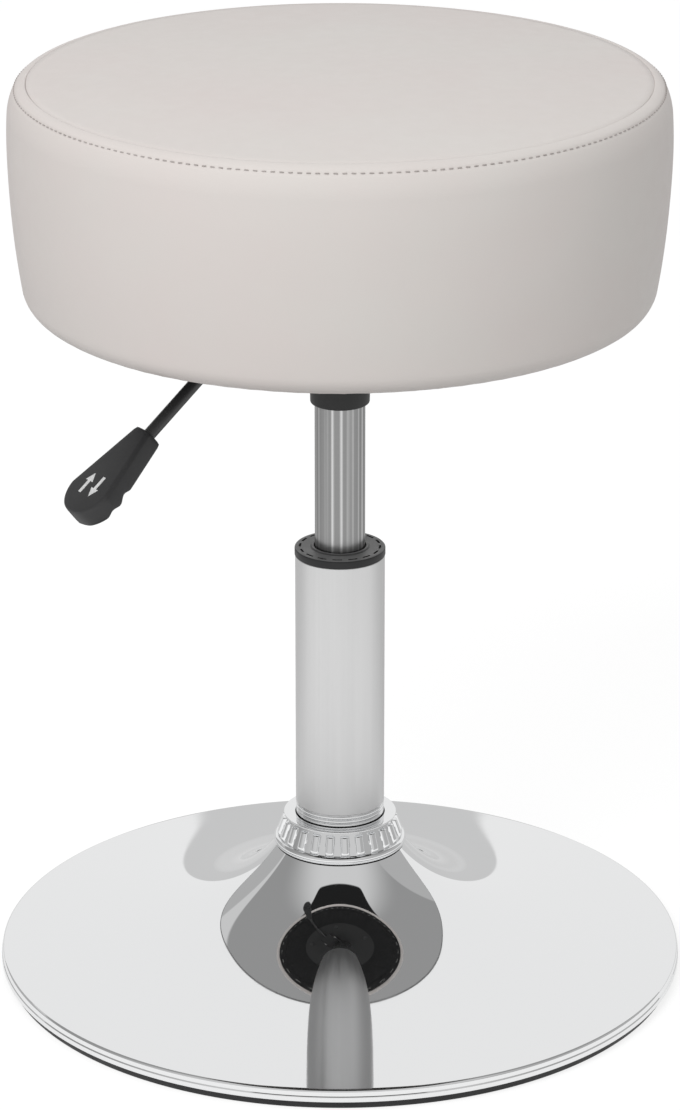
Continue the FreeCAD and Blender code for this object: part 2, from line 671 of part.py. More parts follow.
keep(ring("rubber_damper", "rod_radius + press_clearance", "damper_radius",
          "upper_race_top", "damper_top"))
keep(turned("piston", [
    ("piston_bore + press_clearance", "piston_bottom"),
    ("stem_bore - piston_clearance", "piston_bottom"),
    ("stem_bore - piston_clearance", "piston_ring"),
    ("stem_bore - piston_ring_depth", "piston_ring"),
    ("stem_bore - piston_ring_depth", "piston_ring + piston_ring_height"),
    ("stem_bore - piston_clearance", "piston_ring + piston_ring_height"),
    ("stem_bore - piston_clearance", "piston_top"),
    ("piston_bore + press_clearance", "piston_top"),
]))
keep(ring("piston_ring", "stem_bore - piston_ring_depth + press_clearance", "stem_bore - rod_clearance",
          "piston_ring", "piston_ring + piston_ring_height"))

# Gas cylinder: the brushed stem, closed by the rod guide below and the valve above
keep(turned("gas_cylinder", [
    ("stem_lip_radius", "stem_bottom"),
    ("stem_radius", "stem_bottom"),
    ("stem_radius", "socket_bottom"),
    ("stem_top_radius", "stem_top"),
    ("stem_bore", "stem_top"),
    ("stem_bore", "guide_bottom"),
    ("stem_lip_radius", "guide_bottom"),
]))
keep(ring("rod_guide", "rod_radius + rod_clearance", "stem_bore - press_clearance",
          "guide_bottom", "seal_bottom"))
keep(ring("rod_seal", "rod_radius + rod_clearance", "stem_bore - press_clearance",
          "seal_bottom", "seal_top"))
valve_outside = "stem_bore - press_clearance"
valve_groove = "stem_bore - press_clearance - valve_seal_depth"
seal_levels = ["valve_bottom + valve_seal_inset", "stem_top - valve_seal_inset - valve_seal_height"]
valve_outline = [("pin_stem_radius + pin_clearance", "valve_bottom"), (valve_outside, "valve_bottom")]
for level in seal_levels:
    valve_outline += [
        (valve_outside, level),
        (valve_groove, level),
        (valve_groove, level + " + valve_seal_height"),
        (valve_outside, level + " + valve_seal_height"),
    ]
keep(turned("valve_body", valve_outline + [
    (valve_outside, "stem_top"),
    ("pin_radius + pin_clearance", "stem_top"),
    ("pin_radius + pin_clearance", "pin_seat"),
    ("pin_stem_radius + pin_clearance", "pin_seat"),
]))
seals = keep(new_body("valve_seals"))
for index, level in enumerate(seal_levels, 1):
    section = new_sketch(seals, "valve_seal_%d" % index, "XZ_Plane")
    draw_outline(section, [
        (valve_groove + " + press_clearance", level),
        (valve_outside, level),
        (valve_outside, level + " + valve_seal_height"),
        (valve_groove + " + press_clearance", level + " + valve_seal_height"),
    ])
    turn(seals, "valve_seal_%d_turn" % index, section)
keep(turned("valve_pin", [
    ("0", "pin_bottom - pin_stem_length"),
    ("pin_stem_radius", "pin_bottom - pin_stem_length"),
    ("pin_stem_radius", "pin_bottom"),
    ("pin_radius", "pin_bottom"),
    ("pin_radius", "pin_top - pin_dome", "(pin_radius ^ 2 + pin_dome ^ 2) / (2 * pin_dome)"),
    ("0", "pin_top"),
]))

# Taper socket and lever housing: a channel welded on the socket and under the seat plate
keep(turned("seat_socket", [
    ("stem_radius + taper_clearance", "socket_bottom"),
    ("socket_radius - socket_draft", "socket_bottom"),
    ("socket_radius", "socket_top"),
    ("stem_top_radius + taper_clearance + stem_proud * taper_per_rise", "socket_top"),
]))
channel = primitive("Box", "housing_channel",
                    {"x": "-housing_back", "y": "-housing_width / 2", "z": "socket_top"},
                    {"Length": "housing_back + housing_front", "Width": "housing_width",
                     "Height": "housing_height"})
hollow = primitive("Box", "housing_hollow",
                   {"x": "-housing_back", "y": "housing_wall - housing_width / 2", "z": "web_top"},
                   {"Length": "housing_back + housing_front", "Width": "housing_width - 2 * housing_wall",
                    "Height": "housing_height"})
stem_hole = primitive("Cylinder", "housing_stem_hole", {"z": "socket_top"},
                      {"Radius": "stem_radius + hole_clearance", "Height": "housing_wall"})
pivot_hole = crossways("housing_pivot_hole", "pivot_radius + thread_clearance", "housing_width")
keep(cut("lever_housing", channel, [hollow, stem_hole, pivot_hole]))


def bolt_shanks(label, shank, bottom, top):
    """Straight shanks on the circle of seat bolts."""
    outline = [("0", bottom), (shank, bottom), (shank, top), ("0", top)]
    return turned_ring(label, outline, "bolt_circle", "bolt_count", half_step=True)


# Seat plate with its bolts and washers, drawn up into the threaded inserts of the board
mount_blank = turned("seat_plate_blank", [
    ("0", "mount_bottom"),
    ("mount_radius", "mount_bottom"),
    ("mount_radius", "seat_bottom"),
    ("0", "seat_bottom"),
])
mount_holes = bolt_shanks("seat_plate_holes", "bolt_radius + hole_clearance", "mount_bottom", "seat_bottom")
keep(cut("seat_plate", mount_blank, [mount_holes]))
keep(turned_ring("plate_bolts", [
    ("0", "bolt_bottom - bolt_head"),
    ("bolt_head_radius", "bolt_bottom - bolt_head"),
    ("bolt_head_radius", "bolt_bottom"),
    ("bolt_radius", "bolt_bottom"),
    ("bolt_radius", "board_top"),
    ("0", "board_top"),
], "bolt_circle", "bolt_count", half_step=True))
keep(turned_ring("plate_washers", [
    ("bolt_radius + hole_clearance", "bolt_bottom"),
    ("bolt_washer_radius", "bolt_bottom"),
    ("bolt_washer_radius", "mount_bottom"),
    ("bolt_radius + hole_clearance", "mount_bottom"),
], "bolt_circle", "bolt_count", half_step=True))
keep(turned_ring("seat_t_nuts", [
    ("bolt_radius + thread_clearance", "hem_top"),
    ("nut_radius", "hem_top"),
    ("nut_radius", "board_top - nut_flange"),
    ("nut_flange_radius", "board_top - nut_flange"),
    ("nut_flange_radius", "board_top"),
    ("bolt_radius + thread_clearance", "board_top"),
], "bolt_circle", "bolt_count", half_step=True))

# Lever pivot: a pin across the housing, with a head at one end and a clip at the other
pin_width = "housing_width + 2 * pivot_proud"
pin_shank = crossways("pivot_shank", "pivot_radius", pin_width)
pin_head = primitive("Cylinder", "pivot_pin_head",
                     {"x": "pivot_arm", "y": "-housing_width / 2 - pivot_head", "z": "lever_height"},
                     {"Radius": "pivot_head_radius", "Height": "pivot_head"}, across=True)
keep(fuse("lever_pivot_pin", [pin_shank, pin_head]))
clip_disc = primitive("Cylinder", "pivot_clip_disc",
                      {"x": "pivot_arm", "y": "housing_width / 2", "z": "lever_height"},
                      {"Radius": "pivot_head_radius", "Height": "pivot_head"}, across=True)
clip_hole = crossways("pivot_clip_hole", "pivot_radius + thread_clearance", pin_width)
keep(cut("pivot_clip", clip_disc, [clip_hole]))

# Lever: a bar bent down from its eye, with a flat tongue that reaches over the valve pin
bar = new_body("lever_bar")
route = new_sketch(bar, "lever_route", "XZ_Plane")
draw_outline(route, [
    ("pivot_arm", "lever_height"),
    ("lever_reach - bend_leg", "lever_height", "-bend_radius"),
    ("lever_reach + bend_leg * cos(lever_drop)", "lever_height - bend_leg * sin(lever_drop)"),
    ("lever_reach + bar_end * cos(lever_drop)", "lever_height - bar_end * sin(lever_drop)"),
], closed=False)
section = new_sketch(bar, "lever_section", "YZ_Plane", {"z": "pivot_arm"})
draw_circle(section, "0", "lever_height", "lever_radius")
pipe = bar.newObject("PartDesign::AdditivePipe", "lever_pipe")
pipe.Profile = section
pipe.Spine = (route, ["Edge1", "Edge2", "Edge3"])
eye = crossways("lever_eye", "eye_radius", "eye_width")
tongue = primitive("Box", "lever_tongue",
                   {"x": "-tongue_past", "y": "-tongue_width / 2", "z": "lever_height - tongue_thick / 2"},
                   {"Length": "pivot_arm + tongue_past", "Width": "tongue_width", "Height": "tongue_thick"})
eye_bore = crossways("lever_eye_bore", "bush_radius + thread_clearance", "eye_width")
keep(cut("lever_rod", fuse("lever_rod_whole", [bar, eye, tongue]), [eye_bore]))
bush_tube = crossways("lever_bush_tube", "bush_radius", "eye_width")
bush_bore = crossways("lever_bush_bore", "pivot_radius + pivot_clearance", "eye_width")
keep(cut("lever_bush", bush_tube, [bush_bore]))

# Grip: a flared paddle with finger scallops across its underside and a bore for the bar
grip = keep(new_body("lever_grip"))
plan = new_sketch(grip, "grip_plan", "XY_Plane", {
    "x": "lever_reach + lever_run * cos(lever_drop)",
    "z": "lever_height - lever_run * sin(lever_drop)",
}, (FreeCAD.Vector(0, 1, 0), "lever_drop"))
draw_outline(plan, [
    ("0", "-grip_neck / 2"),
    ("grip_straight", "-grip_width / 2", "grip_end"),
    ("grip_length", "0", "grip_end"),
    ("grip_straight", "grip_width / 2"),
    ("0", "grip_neck / 2"),
])
paddle = grip.newObject("PartDesign::Pad", "grip_paddle")
paddle.Profile = plan
paddle.Midplane = True
bind(paddle, "Length", "grip_thick")
GRIP_SIDE = ({
    "x": "lever_reach + lever_run * cos(lever_drop)",
    "y": "lever_height - lever_run * sin(lever_drop)",
}, (FreeCAD.Vector(0, 0, 1), "-lever_drop"))
scallops = new_sketch(grip, "grip_scallops", "XZ_Plane", *GRIP_SIDE)
for along in ("scallop_start", "scallop_start + scallop_pitch"):
    draw_circle(scallops, along, "scallop_depth - scallop_radius - grip_thick / 2", "scallop_radius")
scallop_pocket = grip.newObject("PartDesign::Pocket", "grip_scallop_pocket")
scallop_pocket.Profile = scallops
scallop_pocket.Midplane = True
bind(scallop_pocket, "Length", "grip_width * 2")
bore = new_sketch(grip, "grip_bore", "XZ_Plane", *GRIP_SIDE)
draw_outline(bore, [
    ("0", "0"),
    ("grip_depth", "0"),
    ("grip_depth", "lever_radius + grip_clearance"),
    ("0", "lever_radius + grip_clearance"),
])
turn(grip, "grip_bore_groove", bore, "H_Axis", "Groove")

# Seat board of plywood, with counterbored holes for the threaded inserts
board_blank = turned("seat_board_blank", [
    ("0", "hem_top"),
    ("board_radius", "hem_top"),
    ("board_radius", "board_top"),
    ("0", "board_top"),
])
insert_holes = turned_ring("seat_board_holes", [
    ("0", "hem_top"),
    ("nut_radius + hole_clearance", "hem_top"),
    ("nut_radius + hole_clearance", "board_top - nut_flange"),
    ("nut_flange_radius + hole_clearance", "board_top - nut_flange"),
    ("nut_flange_radius + hole_clearance", "board_top"),
    ("0", "board_top"),
], "bolt_circle", "bolt_count", half_step=True)
keep(cut("seat_board", board_blank, [insert_holes]))

# Foam block with its crown and drawn-in foot, reaching down round the board's edge
keep(turned("seat_foam", [
    ("0", "board_top"),
    ("board_radius + foam_clearance", "board_top"),
    ("board_radius + foam_clearance", "hem_top + foam_clearance"),
    ("foot_radius", "hem_top + foam_clearance", "roll_radius"),
    ("roll_out - foam_skin", "roll_up", "belly_radius"),
    ("seat_radius - foam_skin", "belly_up", "flank_radius"),
    ("shoulder_out - foam_skin", "shoulder_up", "shoulder_radius"),
    ("foam_edge", "seam_up - foam_skin", crown("foam_edge")),
    ("0", "seat_top - foam_skin"),
]))

# Cover: a crowned top panel sewn to a side band, which is turned in and stapled under the board
keep(turned("seat_top_panel", [
    ("0", "seat_top - cover_skin"),
    ("0", "seat_top", "-" + crown("panel_edge")),
    ("panel_edge", "seam_up"),
    ("panel_under", "seam_up - cover_skin", crown("panel_under")),
]))
keep(turned("seat_side_band", [
    ("hem_inner", "seat_bottom"),
    ("foot_radius", "seat_bottom", "roll_radius + cover_skin"),
    ("roll_out", "roll_up", "belly_radius"),
    ("seat_radius", "belly_up", "flank_radius"),
    ("shoulder_out", "shoulder_up", "shoulder_radius"),
    ("seam_radius", "seam_up"),
    ("seam_radius - cover_skin / 2", "seam_up - cover_skin", "-shoulder_radius"),
    ("shoulder_out - cover_skin", "shoulder_up", "-flank_radius"),
    ("seat_radius - cover_skin", "belly_up", "-belly_radius"),
    ("roll_out - cover_skin", "roll_up", "-roll_radius"),
    ("foot_radius", "hem_top"),
    ("hem_inner", "hem_top"),
]))
dust_blank = turned("dust_cover_blank", [
    ("0", "seat_bottom"),
    ("hem_inner - foam_clearance - dust_lap", "seat_bottom"),
    ("hem_inner - foam_clearance - dust_lap", "dust_bottom"),
    ("foot_radius - dust_edge", "dust_bottom"),
    ("foot_radius - dust_edge", "seat_bottom"),
    ("hem_inner - foam_clearance", "seat_bottom"),
    ("hem_inner - foam_clearance", "hem_top"),
    ("0", "hem_top"),
])
dust_holes = bolt_shanks("dust_cover_holes", "bolt_radius + hole_clearance", "seat_bottom", "hem_top")
keep(cut("dust_cover", dust_blank, [dust_holes]))
staples = keep(new_body("cover_staples"))
staple = new_sketch(staples, "staple_plan", "XY_Plane", {"z": "dust_bottom - staple_wire"})
draw_outline(staple, [
    ("hem_inner + staple_inset", "-staple_length / 2"),
    ("hem_inner + staple_inset + staple_wire", "-staple_length / 2"),
    ("hem_inner + staple_inset + staple_wire", "staple_length / 2"),
    ("hem_inner + staple_inset", "staple_length / 2"),
])
staple_pad = staples.newObject("PartDesign::Pad", "staple_back")
staple_pad.Profile = staple
bind(staple_pad, "Length", "staple_wire")
repeat(staples, "staples_round", [staple_pad], "staple_count")

doc.recompute()

# Nothing is written unless every object and every sub-part came out sound
for item in doc.Objects:
    if "Invalid" in item.State or "Error" in item.State:
        raise RuntimeError("%s is %s" % (item.Label, item.State))
    if item.TypeId in ("PartDesign::Pocket", "PartDesign::Groove"):
        if item.BaseFeature.Shape.Volume - item.Shape.Volume <= 0:
            raise RuntimeError(item.Label + " takes nothing away")
for piece in pieces:
    if piece.Shape.isNull() or not piece.Shape.isValid() or not piece.Shape.Solids:
        raise RuntimeError(piece.Label + " has no sound solid")

os.makedirs("parts", exist_ok=True)
for piece in pieces:
    piece.Shape.exportStep("parts/%s.step" % piece.Label)
    print("%s: %d solid(s), %.1f cm3" % (piece.Label, len(piece.Shape.Solids), piece.Shape.Volume / 1000))
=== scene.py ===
import bmesh
import bpy
import math
import random
from mathutils import Matrix, Vector, noise


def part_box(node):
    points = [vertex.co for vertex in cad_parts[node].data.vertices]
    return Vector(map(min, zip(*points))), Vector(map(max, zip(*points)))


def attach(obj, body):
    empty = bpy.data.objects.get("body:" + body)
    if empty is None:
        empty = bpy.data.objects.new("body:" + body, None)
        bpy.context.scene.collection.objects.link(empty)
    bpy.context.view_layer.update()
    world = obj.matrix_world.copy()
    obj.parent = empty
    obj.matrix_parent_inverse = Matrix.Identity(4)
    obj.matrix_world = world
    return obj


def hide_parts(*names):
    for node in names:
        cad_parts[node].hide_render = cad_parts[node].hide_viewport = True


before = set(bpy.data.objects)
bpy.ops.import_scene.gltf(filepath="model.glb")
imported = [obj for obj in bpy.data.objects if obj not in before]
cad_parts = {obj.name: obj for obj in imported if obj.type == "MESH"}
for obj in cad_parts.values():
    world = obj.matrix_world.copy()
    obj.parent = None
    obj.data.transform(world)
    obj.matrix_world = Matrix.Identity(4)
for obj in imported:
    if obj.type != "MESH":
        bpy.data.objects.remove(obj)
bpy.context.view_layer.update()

# Floor ring
# A black plastic ring pushed up inside the rim of the base. It keeps the chrome off the floor, and only
# its lower edge shows as a dark line under the rim.
MM = 0.001
RING_ROUND = 1.2 * MM
RING_DRAFT = 1.3 * MM
RING_WALL = 9.0 * MM
LEDGE_HEIGHT = 3.0 * MM
LEDGE_WIDTH = 3.0 * MM
DRAFT_HEIGHT = 5.0 * MM
ON_AXIS = 1e-7
NOISE_LOW = 0.3
NOISE_HIGH = 0.7

scene = bpy.context.scene


def shares(steps):
    """Even steps from 0 to 1."""
    return [step / steps for step in range(steps + 1)]


def rounded(corners, steps=6):
    """Profile through (radius, height) corners, where a third number rounds that corner."""
    points = []
    for index, corner in enumerate(corners):
        here = Vector(corner[:2])
        if len(corner) == 2:
            points.append(here)
            continue
        before = (Vector(corners[index - 1][:2]) - here).normalized()
        after = (Vector(corners[(index + 1) % len(corners)][:2]) - here).normalized()
        half = before.angle(after) / 2
        centre = here + (before + after).normalized() * corner[2] / math.sin(half)
        start = here + before * corner[2] / math.tan(half) - centre
        end = here + after * corner[2] / math.tan(half) - centre
        points += [centre + corner[2] * start.slerp(end, share) for share in shares(steps)]
    return points


def revolve(profile, segments=192, shape=None, closed=True):
    """Vertices and faces of a profile turned about the column's axis.

    shape(angle, index, radius, height) may move each point of the profile as it goes round.
    """
    vertices, faces, rings = [], [], []
    for index, (radius, height) in enumerate(profile):
        ring = []
        for step in range(segments if radius > ON_AXIS else 1):
            angle = 2 * math.pi * step / segments
            out, up = shape(angle, index, radius, height) if shape else (radius, height)
            ring.append(len(vertices))
            vertices.append(Vector((out * math.cos(angle), out * math.sin(angle), up)))
        rings.append(ring)
    for lower, upper in zip(rings, rings[1:] + (rings[:1] if closed else [])):
        for step in range(segments):
            corners = [lower[step % len(lower)], lower[(step + 1) % len(lower)],
                       upper[(step + 1) % len(upper)], upper[step % len(upper)]]
            face = list(dict.fromkeys(corners))
            if len(face) > 2:
                faces.append(face)
    return vertices, faces


def placed(shell, matrix):
    """The same shell moved by a matrix."""
    vertices, faces = shell
    return [matrix @ vertex for vertex in vertices], faces


def build(name, shells, body, sharp_degrees=38):
    """One object made of closed shells, smooth except at sharp edges, riding on a body."""
    mesh = bpy.data.meshes.new(name)
    vertices, faces = [], []
    for shell_vertices, shell_faces in shells:
        start = len(vertices)
        vertices += shell_vertices
        faces += [[start + corner for corner in face] for face in shell_faces]
    mesh.from_pydata(vertices, [], faces)
    work = bmesh.new()
    work.from_mesh(mesh)
    bmesh.ops.recalc_face_normals(work, faces=work.faces)
    work.to_mesh(mesh)
    work.free()
    mesh.shade_smooth()
    mesh.set_sharp_from_angle(angle=math.radians(sharp_degrees))
    piece = bpy.data.objects.new(name, mesh)
    scene.collection.objects.link(piece)
    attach(piece, body)
    return piece


def new_group(name, inputs, output):
    """Shader node group of numbers; returns it, what it is given and the socket for its result."""
    group = bpy.data.node_groups.new(name, "ShaderNodeTree")
    for socket, value in inputs.items():
        number = group.interface.new_socket(socket, in_out="INPUT", socket_type="NodeSocketFloat")
        number.default_value = value
    group.interface.new_socket(output, in_out="OUTPUT", socket_type="NodeSocketFloat")
    return group, group.nodes.new("NodeGroupInput").outputs, group.nodes.new("NodeGroupOutput").inputs[output]


def add_node(tree, kind, **values):
    """New node: names in small letters are its settings, the others its inputs, as values or links."""
    node = tree.nodes.new("ShaderNode" + kind)
    for name, value in values.items():
        if name.islower():
            setattr(node, name, value)
            continue
        socket = node.inputs[int(name[1:])] if name[1:].isdigit() else node.inputs[name.replace("_", " ")]
        if isinstance(value, bpy.types.NodeSocket):
            tree.links.new(value, socket)
        else:
            socket.default_value = value
    return node


def feed(tree, kind, output, **values):
    """Output of a new node."""
    return add_node(tree, kind, **values).outputs[output]


def compute(tree, operation, *values):
    """Output of a math node on numbers or other outputs."""
    numbered = {f"_{index}": value for index, value in enumerate(values)}
    return feed(tree, "Math", "Value", operation=operation, **numbered)


def texture(tree, kind, output, **values):
    """Output of a texture laid on the object's own coordinates."""
    return feed(tree, kind, output, Vector=feed(tree, "TexCoord", "Object"), **values)


def spread(tree, value, low, high):
    """Stretch the middle of a noise over a range."""
    return feed(tree, "MapRange", "Result", Value=value, From_Min=NOISE_LOW, From_Max=NOISE_HIGH,
                To_Min=low, To_Max=high)


def place_group(tree, group, **values):
    """Output of a group placed in a material with its own values."""
    return feed(tree, "Group", 0, node_tree=group, **values)


def new_material(name, **values):
    """Material with constants set on its Principled BSDF; returns it, its tree and the shader's inputs."""
    material = bpy.data.materials.new(name)
    material.use_nodes = True
    tree = material.node_tree
    surface = tree.nodes["Principled BSDF"].inputs
    for socket, value in values.items():
        surface[socket.replace("_", " ")].default_value = value
    return material, tree, surface


def bump(tree, surface, height, distance, strength):
    """Feed a height to the shader's normal."""
    normal = feed(tree, "Bump", "Normal", Strength=strength, Distance=distance, Height=height)
    tree.links.new(normal, surface["Normal"])


# Soft patches that vary a value over the surface, between Low and High
patches, given, result = new_group("soft_patches", {"Scale": 40, "Low": 0.3, "High": 0.5}, "Value")
cloud = texture(patches, "TexNoise", "Fac", Scale=given["Scale"], Detail=4.0, Roughness=0.55)
patches.links.new(spread(patches, cloud, given["Low"], given["High"]), result)

# Fine pitted texture of a spark-eroded mould
pits, given, result = new_group("mould_texture", {"Scale": 1500}, "Height")
cells = texture(pits, "TexVoronoi", "Distance", Scale=given["Scale"])
cloud = texture(pits, "TexNoise", "Fac", Scale=given["Scale"], Detail=2.0)
pits.links.new(compute(pits, "ADD", cells, cloud), result)


def vary(tree, socket, scale, low, high):
    """Let one of the shader's inputs vary between two values in soft patches."""
    tree.links.new(place_group(tree, patches, Scale=scale, Low=low, High=high), socket)


def moulded_plastic(name, colour, rough, scale=1500, depth=0.05 * MM):
    """Moulded plastic: a pitted surface, rough between two values in soft patches."""
    material, tree, surface = new_material(name, Base_Color=colour, Specular_IOR_Level=0.45)
    vary(tree, surface["Roughness"], 60, *rough)
    bump(tree, surface, place_group(tree, pits, Scale=scale), depth, 0.5)
    return material


ring_low, ring_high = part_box("floor_ring")
ring_inner = ring_high.x - RING_WALL
floor_ring = build("floor_ring_moulding", [revolve(rounded([
    (ring_high.x - RING_DRAFT, ring_low.z, RING_ROUND),
    (ring_high.x, ring_low.z + DRAFT_HEIGHT),
    (ring_high.x, ring_high.z, RING_ROUND),
    (ring_inner + LEDGE_WIDTH, ring_high.z, RING_ROUND),
    (ring_inner + LEDGE_WIDTH, ring_low.z + LEDGE_HEIGHT),
    (ring_inner, ring_low.z + LEDGE_HEIGHT, RING_ROUND / 2),
    (ring_inner, ring_low.z, RING_ROUND / 2),
]), 256)], "base")
floor_ring.data.materials.append(moulded_plastic("ring_plastic", (0.012, 0.012, 0.013, 1), (0.42, 0.58)))
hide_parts("floor_ring")

# Closing plate and its screws
# A round steel plate, painted black, closes and weights the base from below. Four socket screws go up
# through it into the hub.
SCREW_COUNT = 4
SCREW_CIRCLE = 37.5 * MM
SCREW_HEAD_RADIUS = 5.5 * MM
SCREW_HEAD = 2.2 * MM
SCREW_RADIUS = 3.0 * MM
SCREW_TOP = 9.5 * MM
HEX_HALF = 1.9 * MM
HEX_DEPTH = 1.5 * MM
SCREW_HEAD_ROUND = 0.9 * MM


def grey(level):
    """Neutral colour of a given brightness."""
    return level, level, level, 1


def black_paint(name, rough, shade=0.016):
    """Black powder coat with its faint orange-peel."""
    material, tree, surface = new_material(name, Base_Color=grey(shade), Specular_IOR_Level=0.5)
    vary(tree, surface["Roughness"], 45, *rough)
    bump(tree, surface, place_group(tree, patches, Scale=700, Low=0.0, High=1.0), 0.04 * MM, 0.6)
    return material


# Turning marks: lines round the axis or along it, set by the two scales and by how finely they break up.
# On the stem the same lines also lay painted highlight streaks into the colour.
turn_marks_and_painted_streaks, given, result = new_group("brush_lines_and_painted_streaks", {"Around": 3, "Along": 2000, "Fineness": 5}, "Lines")
parts = add_node(turn_marks_and_painted_streaks, "SeparateXYZ", Vector=feed(turn_marks_and_painted_streaks, "TexCoord", "Object")).outputs
bearing = compute(turn_marks_and_painted_streaks, "ARCTAN2", parts["Y"], parts["X"])
spot = feed(turn_marks_and_painted_streaks, "CombineXYZ", "Vector", X=compute(turn_marks_and_painted_streaks, "MULTIPLY", bearing, given["Around"]),
            Y=compute(turn_marks_and_painted_streaks, "MULTIPLY", parts["Z"], given["Along"]))
marks = feed(turn_marks_and_painted_streaks, "TexNoise", "Fac", noise_dimensions="2D", Vector=spot, Scale=1.0,
             Detail=given["Fineness"], Roughness=0.65)
turn_marks_and_painted_streaks.links.new(marks, result)


def line_finish(tree, surface, rough, around, along, depth, strength):
    """Fine lines in a metal's roughness and relief."""
    lines = place_group(tree, turn_marks_and_painted_streaks, Around=around, Along=along)
    tree.links.new(spread(tree, lines, *rough), surface["Roughness"])
    bump(tree, surface, lines, depth, strength)


def bright_steel(name, colour, rough, around=6, along=1800):
    """Plated or turned steel with fine marks."""
    material, tree, surface = new_material(name, Base_Color=colour, Metallic=1.0)
    line_finish(tree, surface, rough, around, along, 0.02 * MM, 0.4)
    return material


def hexagonal(*rows):
    """Shape for revolve that makes some rows of a profile hexagonal; the rest stays round."""
    def shape(angle, index, radius, height):
        stretch = 1 / math.cos(angle % (math.pi / 3) - math.pi / 6) if index in rows else 1
        return radius * stretch, height
    return shape


def ring_of(shell, count, circle, first=0.0):
    """Copies of a shell standing in a circle round the axis."""
    outward = Matrix.Translation((circle, 0, 0))
    turns = [first + 2 * math.pi * index / count for index in range(count)]
    return [placed(shell, Matrix.Rotation(turn, 4, "Z") @ outward) for turn in turns]


def repaint(node_name, material):
    """Give a built piece that keeps its shape its finish."""
    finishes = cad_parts[node_name].data.materials
    finishes.clear()
    finishes.append(material)


plate_paint = black_paint("plate_paint", (0.35, 0.5))
repaint("base_plate", plate_paint)
zinc = bright_steel("zinc_plate", (0.56, 0.56, 0.54, 1), (0.22, 0.42))
screw_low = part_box("base_screws")[0]
screw_under = screw_low.z + SCREW_HEAD
screw = revolve(rounded([
    (0, screw_low.z + HEX_DEPTH),
    (HEX_HALF, screw_low.z + HEX_DEPTH),
    (HEX_HALF, screw_low.z),
    (SCREW_HEAD_RADIUS, screw_low.z, SCREW_HEAD_ROUND),
    (SCREW_HEAD_RADIUS, screw_under),
    (SCREW_RADIUS, screw_under),
    (SCREW_RADIUS, SCREW_TOP),
    (0, SCREW_TOP),
]), 36, hexagonal(1, 2), closed=False)
base_screws = build("base_socket_screws", ring_of(screw, SCREW_COUNT, SCREW_CIRCLE), "base")
base_screws.data.materials.append(zinc)
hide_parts("base_screws")

# Trumpet base
# One disc of steel sheet, spun into a shallow cone that flares up to the throat. Its rim is turned down in
# two rolled beads, and the whole is polished and chrome-plated. It sits over the floor ring and the hub.
RIM_ROUND = 1.7 * MM
RIM_BAND = 2.0 * MM
RIM_LIP = 0.9 * MM
BEAD_STEP = 0.55 * MM
GROOVE_HEIGHT = 8.4 * MM
DISH_RISE = 0.160
THROAT_RISE = 1.25
RISE_FADE = 27.8 * MM
THROAT_RADIUS = 36.5 * MM
SKIN_STEPS = 140
SHEET = 1.5 * MM
RIM_HEIGHT = 12.0 * MM
RIM_BEAD_ROUND = 0.8 * MM


def chrome(name, colour, rough):
    """Polished chrome plate with the faint unevenness of its polish."""
    material, tree, surface = new_material(name, Base_Color=colour, Metallic=1.0)
    vary(tree, surface["Roughness"], 35, *rough)
    bump(tree, surface, place_group(tree, patches, Scale=18, Low=0.0, High=1.0), 0.03 * MM, 0.12)
    return material


trumpet_low, trumpet_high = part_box("trumpet_base")
rim_radius = trumpet_high.x
cone_edge = rim_radius - RIM_BAND
least = math.exp((THROAT_RADIUS - cone_edge) / RISE_FADE)
skin = []
for share in shares(SKIN_STEPS):
    radius = cone_edge + (THROAT_RADIUS - cone_edge) * share
    extra = math.exp((THROAT_RADIUS - radius) / RISE_FADE)
    height = RIM_HEIGHT + DISH_RISE * (cone_edge - radius) + THROAT_RISE * RISE_FADE * (extra - least)
    skin.append((radius, height, math.atan(DISH_RISE + THROAT_RISE * extra)))


def skin_line(offset):
    """Points from the throat down to the edge of the dish, offset into the sheet."""
    return [Vector((radius - offset * math.sin(turn), height - offset * math.cos(turn)))
            for radius, height, turn in reversed(skin)]


outer_skin = skin_line(0)[:-1]
inner_skin = skin_line(SHEET)
upper_bead = rim_radius - BEAD_STEP
rim = rounded([
    outer_skin[-1],
    (upper_bead, RIM_HEIGHT - (upper_bead - cone_edge) * DISH_RISE, RIM_ROUND),
    (upper_bead, GROOVE_HEIGHT, BEAD_STEP / 2),
    (rim_radius, GROOVE_HEIGHT - BEAD_STEP, RIM_BEAD_ROUND),
    (rim_radius, trumpet_low.z, RIM_LIP / 2),
    (rim_radius - SHEET, trumpet_low.z, RIM_LIP / 2),
    inner_skin[-1],
], 10)
trumpet_profile = outer_skin + rim[1:] + inner_skin[-2::-1]
trumpet = build("chrome_trumpet", [revolve(trumpet_profile, 320)], "base", 30)
trumpet.data.materials.append(chrome("base_chrome", (0.88, 0.885, 0.89, 1), (0.012, 0.035)))
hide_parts("trumpet_base")

# Chrome collar
# A die-cast ring, chrome-plated, that hides where the column enters the throat: a foot bead, a sunk band
# with upright flat-topped pegs cast on it, and a flat lip round the column.
PEG_COUNT = 24
PEG_WIDTH = 4.9 * MM
PEG_FULLNESS = 2.4
PEG_CAP = 0.35 * MM
PEG_CAP_DROP = 2.0 * MM
PEG_LINE = (36.3 * MM, 31.8 * MM)
BEAD_HEIGHT = 4.8 * MM
BEAD_ROUND = 2.2 * MM
BAND_SINK = 2.8 * MM
LIP_HEIGHT = 0.9 * MM
LIP_RADIUS = 31.9 * MM
LIP_OVERHANG = 2.5 * MM
COLLAR_FOOT = 37.5 * MM
COLLAR_BORE = 25.2 * MM
COLLAR_WALL = 2.4 * MM
BAND_STEPS = 40
SEGMENTS_PER_PEG = 28
LIP_ROUNDS = (0.3 * MM, 0.4 * MM, 0.5 * MM)
HAIR = 0.01 * MM

